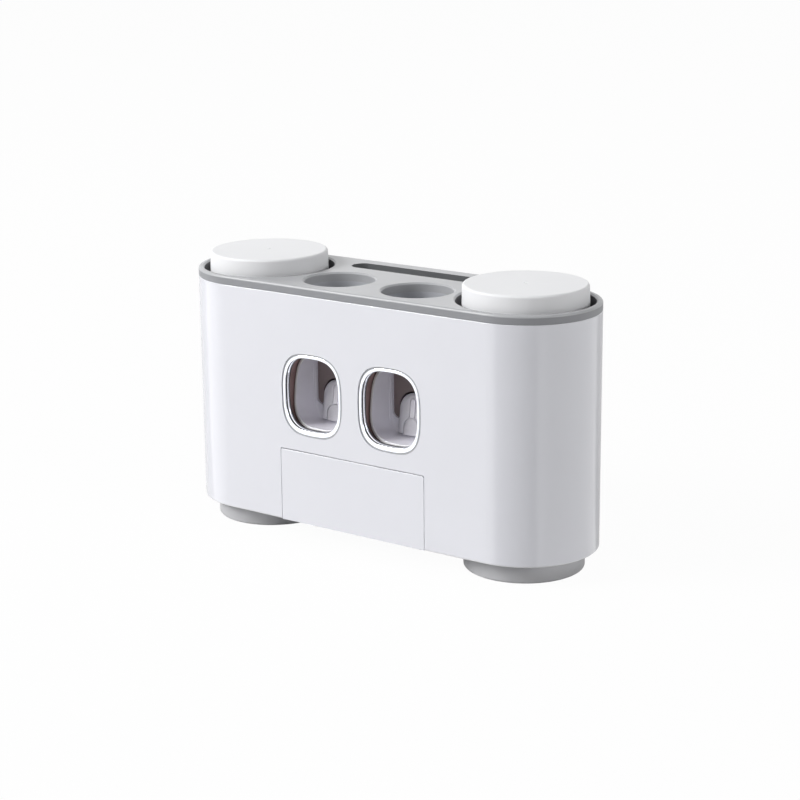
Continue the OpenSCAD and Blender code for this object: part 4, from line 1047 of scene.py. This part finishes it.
def makeBowl(side, s):
    centreX = sides[side] * windowX
    centreZ = windowZ + windowSizes["openRise"]
    lowZ = centreZ - s["height"] / 2 - s["wall"]
    lean = math.tan(math.radians(s["lean"]))
    rear = s["backY"] + s["wall"]

    def ring(share, inset, push=0.0):
        half = s["frontHalf"] + (s["backHalf"] - s["frontHalf"]) * share - inset
        power = s["frontPower"] + (s["backPower"] - s["frontPower"]) * share
        outline = windowOutline(2 * half, s["height"] - 2 * inset, (0, centreZ), power, 16)
        points = []
        for x, z in outline:
            rim = s["rimY"] + lean * (z - lowZ)
            points.append((centreX + x, rim + (s["backY"] - rim) * share + push, z))
        return points

    rings = []
    for step in range(s["backSteps"] + 1):  # the inner back's round
        turn = math.radians(90 - 90 * step / s["backSteps"])
        inset = s["backRound"] * (1 - math.cos(turn))
        rings.append(ring(1.0, inset, -s["backRound"] + s["backRound"] * math.sin(turn)))
    start = 1 - (s["backRound"] + s["backGap"]) / (s["backY"] - s["rimY"])
    for step in range(s["depthSteps"]):
        rings.append(ring(start * (1 - step / s["depthSteps"]), 0.0))
    half = s["wall"] / 2
    for step in range(s["rimSteps"] + 1):  # the rolled rim, nearly flat in front
        turn = math.radians(180 * step / s["rimSteps"])
        across = math.copysign(abs(math.cos(turn)) ** s["rimFlat"], math.cos(turn))
        rings.append(ring(0.0, -half * (1 - across), half * (1 - math.sin(turn) ** s["rimFlat"])))
    for step in range(1, s["depthSteps"] + 1):
        rings.append(ring(step / s["depthSteps"], -s["wall"], s["wall"] * step / s["depthSteps"]))
    bowl = loft(rings, "squeezer_bowl_" + side + "_moulding")
    adds = []
    for hand in (-1, 1):
        adds += [rod(s["postRadius"], (centreX + hand * s["postX"], z), "y", rear - s["postLength"], rear)
                 for z in (s["postLow"], s["postHigh"])]
        legX = centreX + hand * s["legX"]
        adds.append(block((legX - s["legHalf"], s["backY"] - s["legDepth"], s["legLow"]),
                          (legX + s["legHalf"], s["backY"], s["legHigh"])))
    for add in adds:  # nothing may stick into the hollow
        combine(add, [loft([ring(1.0, -s["hollowGrow"], s["hollowGrow"]), ring(0.0, -s["hollowGrow"])])])
    combine(bowl, adds, "UNION")
    slot = roundedOutline(2 * s["slotHalf"], s["slotHigh"] - s["slotLow"], s["slotCorner"],
                          (centreX, (s["slotHigh"] + s["slotLow"]) / 2), 8)
    nozzle = (centreX, s["nozzleY"])
    slotFront = s["backY"] - s["slotFront"]
    slotBack = rear + 2 * over
    cuts = [prism(slot, "y", slotFront, slotBack),
            block((centreX - s["footSlotHalf"], slotFront, s["footSlotLow"]),
                  (centreX + s["footSlotHalf"], slotBack, s["slotLow"] + 2 * over)),
            rod(s["nozzleHole"], nozzle, "z", centreZ + s["nozzleLow"], centreZ + s["nozzleHigh"])]
    cuts += [rod(s["screwRadius"], post, "y", rear - s["screwDepth"], rear + over, 16)
             for post in bowlPosts(centreX)]
    combine(bowl, cuts)
    return soften(bowl, s["edge"], segments=2, angle=45)


leverSizes = {
    "half": 10.2, "low": 75.45, "archZ": 90.95, "backY": -17.0, "frontLow": -22.6, "frontHigh": -19.3,
    "edgeWide": 3.2, "edgeDeep": 1.4, "edgeSteps": 7, "footShare": 0.3, "webHigh": 6.4, "edge": 0.15,
    "ribHalf": 1.7, "ribLow": 86.5, "ribHigh": 97.8, "ribRise": 0.5, "ribEdge": 0.4,
    "padRadius": 5.5, "padZ": 80.4, "padRise": 0.9, "padWide": 1.2, "padDeep": 0.9, "padBack": -18.0,
    "padFacing": 0.2, "sunk": 0.5, "grooveWidth": 0.6, "grooveDepth": 0.8, "bossRadius": 3.2,
    "bossHalf": 10.6, "pivotY": -14.5, "pivotZ": 78.65, "hole": 1.55}


def archOutline(half, low, archZ, centreX, steps=24):
    points = [(centreX - half, low), (centreX + half, low)]
    for step in range(steps + 1):
        turn = math.pi * step / steps
        points.append((centreX + half * math.cos(turn), archZ + half * math.sin(turn)))
    return points


def makeLever(side, s):
    centreX = sides[side] * windowX

    def face(z, rise):
        share = (z - s["low"]) / (s["archZ"] + s["half"] - s["low"])
        return s["frontLow"] + (s["frontHigh"] - s["frontLow"]) * share - rise

    def archForm(half, low, archZ, rise, edgeWide, edgeDeep, back):  # rounded round the front, flat behind
        rings = [[(x, back, z) for x, z in archOutline(half, low, archZ, centreX)]]
        for step in range(s["edgeSteps"] + 1):
            turn = math.radians(90 * step / s["edgeSteps"])
            inset = edgeWide * (1 - math.cos(turn))
            level = edgeDeep * (1 - math.sin(turn))
            outline = archOutline(half - inset, low + inset * s["footShare"], archZ, centreX)
            rings.append([(x, min(face(z, rise) + level, back), z) for x, z in outline])
        return loft(rings)

    def moat(half, low, archZ):  # a sunk bed a little larger than what stands in it
        outline = archOutline(half + s["grooveWidth"], low - s["grooveWidth"], archZ, centreX)
        return loft([[(x, face(z, -s["grooveDepth"]), z) for x, z in outline],
                     [(x, face(z, 3 * s["padRise"]), z) for x, z in outline]])

    lever = archForm(s["half"], s["low"], s["archZ"], 0.0, s["edgeWide"], s["edgeDeep"], s["backY"])
    lever.name = "push_lever_" + side + "_moulding"
    pivot = (s["pivotY"], s["pivotZ"])
    boss = rod(s["bossRadius"], pivot, "x", centreX - s["bossHalf"], centreX + s["bossHalf"])
    web = block((centreX - s["half"], s["backY"] - over, s["low"]),
                (centreX + s["half"], s["pivotY"], s["low"] + s["webHigh"]))
    combine(lever, [boss, web], "UNION")
    ribTop = s["ribHigh"] - s["ribHalf"]
    combine(lever, [moat(s["ribHalf"], s["ribLow"], ribTop), moat(s["padRadius"], s["low"], s["padZ"])])
    sunkBack = s["backY"] - s["sunk"]
    rib = archForm(s["ribHalf"], s["ribLow"], ribTop, s["ribRise"], s["ribEdge"], s["ribEdge"], sunkBack)
    pad = archForm(s["padRadius"], s["low"], s["padZ"], s["padRise"], s["padWide"], s["padDeep"], sunkBack)
    combine(lever, [rib, pad], "UNION")
    boreHalf = s["bossHalf"] + over
    combine(lever, [rod(s["hole"], pivot, "x", centreX - boreHalf, centreX + boreHalf)])
    return soften(lever, s["edge"], segments=2, angle=40)


nozzleSizes = {"top": 2.95, "tip": 1.7, "bore": 0.9, "flare": 2.3, "flareRise": 2.2, "topRise": 3.0}


def makeNozzle(side, s):
    low, high = nodeBox("dosing_nozzle_" + side)
    centre = ((low.x + high.x) / 2, (low.y + high.y) / 2, 0)
    return sweptWall("dosing_nozzle_" + side + "_moulding", [
        (s["bore"], low.z, 0.1), (s["tip"], low.z, 0.4), (s["flare"], low.z + s["flareRise"], 0.3),
        (s["top"], low.z + s["topRise"], 0.3), (s["top"], high.z, 0.3), (s["bore"], high.z, 0.1)],
        silicone, centre=centre, columns=48, cornerSteps=3, closed=True)


def onRim(centre, normal):  # the front edge of a bowl
    s = bowlSizes
    foot = windowZ + windowSizes["openRise"] - s["height"] / 2 - s["wall"]
    rim = s["rimY"] + math.tan(math.radians(s["lean"])) * (centre.z - foot)
    return normal.y < -steep and abs(centre.y - rim) < s["rimNear"]


def onPad(centre, normal):  # the front of the pad that a brush presses
    s = leverSizes
    reach = Vector((abs(centre.x) - windowX, max(centre.z - s["padZ"], 0))).length
    forward = centre.y < s["padBack"] and normal.y < -s["padFacing"]
    return forward and reach < s["padRadius"] + near and centre.z > s["low"]


for side in sides:
    bowl = place(makeBowl(side, bowlSizes), "housing", "liner_white", linerWhite, "squeezer_bowl_" + side)
    # painted highlight on each bowl's front rim
    secondFinish(bowl, paintedHighlightWhite, onRim)
    leverNode = "push_lever_" + side
    lever = place(makeLever(side, leverSizes), leverNode, "liner_white", leverWhite, leverNode)
    # painted shade on the front of each pad
    secondFinish(lever, padShadeWhite, onPad)
    place(smooth(makeNozzle(side, nozzleSizes)), "housing", "silicone", silicone, "dosing_nozzle_" + side)
print("squeezers ready")

# Flip cover

flapSizes = {
    "half": 54.3, "low": 12.9, "top": 59.4, "thick": 2.2, "topRound": 0.35, "topSteps": 8, "corner": 1.2,
    "barrel": 4.0, "barrelSweep": 190.0, "barrelSteps": 16, "barrelFoot": 4.4, "barrelRoom": 6.0,
    "stub": 1.6, "stubOut": 58.3, "lipHalf": 18.1, "lipFront": 1.1, "lipBack": -40.8, "lipTop": 14.9,
    "edge": 0.2}


def makeFlap(s):
    front = -endRadius
    back = front + s["thick"]
    hingeY = shellSizes["hingeY"]
    hingeZ = shellSizes["hingeZ"]
    section = [(front, s["low"])]
    for step in range(s["topSteps"] + 1):
        turn = math.radians(180 - 90 * step / s["topSteps"])
        section.append((front + s["topRound"] * (1 + math.cos(turn)),
                        s["top"] - s["topRound"] * (1 - math.sin(turn))))
    for step in range(s["barrelSteps"] + 1):
        turn = math.radians(90 - s["barrelSweep"] * step / s["barrelSteps"])
        section.append((hingeY + s["barrel"] * math.cos(turn), hingeZ + s["barrel"] * math.sin(turn)))
    section += [(back, hingeZ - s["barrelFoot"]), (back, s["low"])]
    flap = prism(section, "x", -s["half"], s["half"], "flip_cover_moulding")
    corners = roundedOutline(2 * s["half"], 2 * (s["top"] - s["low"]), s["corner"], (0, s["low"]), 6)
    combine(flap, [prism(corners, "y", front - over, hingeY + s["barrelRoom"])], "INTERSECT")
    combine(flap, [
        block((-s["lipHalf"], front + s["lipFront"], s["low"]), (s["lipHalf"], s["lipBack"], s["lipTop"])),
        rod(s["stub"], (hingeY, hingeZ), "x", -s["stubOut"], s["stubOut"], 24)], "UNION")
    return soften(flap, s["edge"], segments=3)


place(makeFlap(flapSizes), "flip_cover", "gloss_white", glossWhite, "flip_cover")
print("flip cover ready")

# Pieces that keep the shapes of their solids, with rounded edges

copies = [("brush_rack", "liner_white", linerWhite, 0.4), ("rear_cover", "gloss_white", glossWhite, 0.4)]
for side in sides:
    copies += [
        ("pump_piston_" + side, "liner_white", linerWhite, 0.2),
        ("piston_seal_" + side, "seal_rubber", sealRubber, 0.05),
        ("lever_pin_" + side, "steel", drawnSteel, 0.3),
        ("wall_hook_" + side, "tray_grey", trayGrey, 0.4),
        ("adhesive_pad_" + side, "foam", foam, 0.15)]
shadePlateSizes = {"half": 18.0, "low": 83.4, "high": 118.0, "thick": 1.0, "gap": 1.1, "edge": 0.3}


# the plate is a dark sheet set behind the slot, where there is only shade
def makePump(side, s):  # the solid with a plate that closes the slot round the lever
    pump = solidCopy("pump_body_" + side)
    low = nodeBox("squeezer_bowl_" + side)[1].y
    x = sides[side] * windowX
    plate = block((x - s["half"], low, s["low"]), (x + s["half"], low + s["thick"], s["high"]))
    archway = archOutline(leverSizes["half"] + s["gap"], s["low"] - over, leverSizes["archZ"], x)
    combine(plate, [prism(archway, "y", low - over, low + s["thick"] + over)])
    combine(pump, [plate], "UNION")
    return soften(pump, s["edge"], segments=2)


bodyOf = {node: body for body, nodes in frame["record"]["behaviour"]["bodies"].items() for node in nodes}
for node, slotName, material, width in copies:
    place(soften(solidCopy(node), width, segments=2), bodyOf[node], slotName, material, node)
for side in sides:
    # painted shade: the pumps and their plates in dark brown
    place(makePump(side, shadePlateSizes), "housing", "pump_dark", pumpShadeDark, "pump_body_" + side)
print("rack, cover, hooks and pumps ready")

# Screws and springs

headBack = (-math.pi / 2, 0, 0)  # turns a screw's head to the back of the part
headDown = (math.pi, 0, 0)
screwSets = {
    "pump_screws": {"radius": 2.3, "topRadius": 1.7, "head": 1.7, "shank": 1.2, "length": 7.0, "turns": 8.0,
                    "turn": headBack},
    "cover_screws": {"radius": 1.3, "topRadius": 2.6, "head": 1.5, "shank": 1.2, "length": 6.4, "turns": 7.0,
                     "turn": headBack, "inset": 2.7},
    "rack_screws": {"radius": 2.3, "topRadius": 1.8, "head": 1.7, "shank": 1.2, "length": 7.0, "turns": 8.0,
                    "turn": headDown}}


def screwSpots(node, s):  # where each screw's head meets its shank
    low, high = nodeBox(node)
    if node == "rack_screws":
        x = shellSizes["rackScrewX"]
        return [(side * x, shellSizes["rackScrewY"], low.z + s["head"]) for side in (-1, 1)]
    if node == "pump_screws":
        spots = bowlPosts(-windowX) + bowlPosts(windowX)
    else:
        acrossAt = (low.x + s["inset"], high.x - s["inset"])
        spots = [(x, z) for x in acrossAt for z in (low.z + s["inset"], high.z - s["inset"])]
    return [(x, high.y - s["head"], z) for x, z in spots]


def makeScrews(node, s):
    thing = newObject(node + "_steel", pointMesh(node, screwSpots(node, s)))
    runTree(thing, screwTree, {
        "Head radius": s["radius"] * mm, "Head top radius": s["topRadius"] * mm,
        "Head height": s["head"] * mm, "Shank radius": s["shank"] * mm, "Shank length": s["length"] * mm,
        "Thread turns": s["turns"], "Turn": s["turn"], "Material": drawnSteel})
    return smooth(thing)


for node, sizes in screwSets.items():
    place(makeScrews(node, sizes), "housing", "steel", drawnSteel, node)

springSizes = {"coil": 5.46, "wire": 0.3, "turns": 4.0, "startY": 2.5, "endY": 9.25, "keep": 0.36}


def makeSpring(side, s):  # a coil spring at its solid's place; the real one flattens as its piston slides
    low, high = nodeBox("return_spring_" + side)
    middle = (low + high) / 2
    thing = newObject("return_spring_" + side + "_wire", bpy.data.meshes.new("spring"))
    runTree(thing, springTree, {
        "Coil radius": s["coil"] * mm, "Wire radius": s["wire"] * mm, "Turns": s["turns"],
        "Length": (s["endY"] - s["startY"]) * mm, "Start": Vector((middle.x, s["startY"], middle.z)) * mm,
        "Material": drawnSteel})
    tidyMesh(thing)
    place(smooth(thing), "housing", "steel", drawnSteel, "return_spring_" + side)
    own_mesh(thing)


for side in sides:
    makeSpring(side, springSizes)
print("screws and springs ready")

# Camera at the photograph's angle

cameraSizes = {"azimuth": 35.68, "pitch": 15.12, "roll": -0.55, "focal": 2041.7, "distance": 1274.12,
               "right": 4.12, "up": -1.54, "aimZ": 90.0, "sensor": 36.0, "photoWidth": 800,
               "clipStart": 0.01, "clipEnd": 50.0}


def direction(azimuth, elevation):  # from the object outwards; azimuth 0 points at the viewer of the front
    flat = math.cos(elevation)
    return Vector((math.sin(azimuth) * flat, -math.cos(azimuth) * flat, math.sin(elevation)))


def makeCamera(s):
    azimuth = math.radians(s["azimuth"])
    roll = math.radians(s["roll"])
    back = direction(azimuth, math.radians(s["pitch"]))
    across = Vector((math.cos(azimuth), math.sin(azimuth), 0))
    up = back.cross(across)
    turnedAcross = math.cos(roll) * across + math.sin(roll) * up
    turnedUp = -math.sin(roll) * across + math.cos(roll) * up
    spot = Vector((0, 0, s["aimZ"])) + back * s["distance"] + turnedAcross * s["right"] + turnedUp * s["up"]
    data = bpy.data.cameras.new("camera")
    data.sensor_width = s["sensor"]
    data.lens = s["focal"] * s["sensor"] / s["photoWidth"]
    data.clip_start = s["clipStart"]
    data.clip_end = s["clipEnd"]
    camera = newObject("camera", data)
    turn = Matrix((turnedAcross, turnedUp, back)).transposed()
    camera.matrix_world = Matrix.Translation(spot * mm) @ turn.to_4x4()
    scene.camera = camera


makeCamera(cameraSizes)

# Floor, world and lights

lightSizes = {
    "floorHalf": 6000.0, "floorThick": 20.0, "floorCorner": 900.0, "floorWhite": 0.5, "floorGlow": 1.02,
    "floorSeen": 0.95, "floorMirrored": 0.55, "cardLow": 0.2, "cardHigh": 0.4, "lampAim": 0.1,
    "skyLow": 0.04, "skyHigh": 0.41, "skySeen": 1.0, "skyMirrored": 1.6}
cards = {
    "frontCard": {"glow": 1.8, "outline": [(-3000, -46), (-3000, -3000), (-630, -3000), (105.5, -46)]},
    "endCard": {"glow": 1.6, "outline": [(143, -46), (3000, -2400), (3000, 3000), (900, 3000), (143, 46)]}}
lamps = {
    "key": {"azimuth": -43.0, "elevation": 32.0, "distance": 4.0, "size": 2.0, "power": 158.0},
    "fill": {"azimuth": 90.0, "elevation": 15.0, "distance": 4.0, "size": 1.3, "power": 40.0}}


def emission(tree, colour, strength):
    return treeNode(tree, "ShaderNodeEmission", {"Color": colour, "Strength": strength}).outputs[0]


def makeFloor(s):
    outline = roundedOutline(2 * s["floorHalf"], 2 * s["floorHalf"], s["floorCorner"], (0, 0), 6)
    floor = prism(outline, "z", -s["floorThick"], 0.0, "floor")
    material, tree, shader = newMaterial("paleFloor")
    light = tree.nodes.new("ShaderNodeLightPath")
    shader.inputs["Base Color"].default_value = (s["floorWhite"], s["floorWhite"], s["floorWhite"], 1)
    shader.inputs["Roughness"].default_value = 0.9
    shader.inputs["Specular IOR Level"].default_value = 0.0
    seen = treeMath(tree, "MULTIPLY", light.outputs["Is Camera Ray"], s["floorSeen"])
    mirrored = treeMath(tree, "MULTIPLY", light.outputs["Is Glossy Ray"], s["floorMirrored"])
    mix = tree.nodes.new("ShaderNodeMixShader")
    tree.links.new(treeMath(tree, "MAXIMUM", seen, mirrored), mix.inputs[0])
    tree.links.new(shader.outputs[0], mix.inputs[1])
    tree.links.new(emission(tree, (1, 1, 1, 1), s["floorGlow"]), mix.inputs[2])
    tree.links.new(mix.outputs[0], tree.nodes["Material Output"].inputs["Surface"])
    floor.data.materials.append(material)


def makeCard(name, s):  # lies on the floor and is seen in reflections only
    card = prism(s["outline"], "z", lightSizes["cardLow"], lightSizes["cardHigh"], name)
    material, tree = newMaterial(name + "Glow")[:2]
    tree.links.new(emission(tree, (1, 1, 1, 1), s["glow"]), tree.nodes["Material Output"].inputs[0])
    card.data.materials.append(material)
    card.visible_camera = False
    card.visible_diffuse = False
    card.visible_shadow = False


def makeWorld(s):
    world = bpy.data.worlds.new("studio")
    world.use_nodes = True
    scene.world = world
    tree = world.node_tree
    light = tree.nodes.new("ShaderNodeLightPath")
    spot = tree.nodes.new("ShaderNodeTexCoord").outputs["Generated"]
    split = treeNode(tree, "ShaderNodeSeparateXYZ", {"Vector": spot})
    sky = mapped(tree, split.outputs["Z"], 0.0, 1.0, s["skyLow"], s["skyHigh"])
    mirrored = shadeMix(tree, "FLOAT", light.outputs["Is Glossy Ray"], sky, s["skyMirrored"])
    strength = shadeMix(tree, "FLOAT", light.outputs["Is Camera Ray"], mirrored, s["skySeen"])
    background = tree.nodes["Background"]
    background.inputs["Color"].default_value = (1, 1, 1, 1)
    tree.links.new(strength, background.inputs["Strength"])


def makeLamp(name, s):
    away = direction(math.radians(s["azimuth"]), math.radians(s["elevation"]))
    data = bpy.data.lights.new(name, "AREA")
    data.shape = "DISK"
    data.size = s["size"]
    data.energy = s["power"]
    lamp = newObject(name, data)
    facing = away.to_track_quat("Z", "Y").to_matrix().to_4x4()
    spot = away * s["distance"] + Vector((0, 0, lightSizes["lampAim"]))
    lamp.matrix_world = Matrix.Translation(spot) @ facing
    lamp.visible_camera = False


makeFloor(lightSizes)
for name, sizes in cards.items():
    makeCard(name, sizes)
makeWorld(lightSizes)
for name, sizes in lamps.items():
    makeLamp(name, sizes)
scene.view_settings.view_transform = "Standard"
print("camera and light ready")
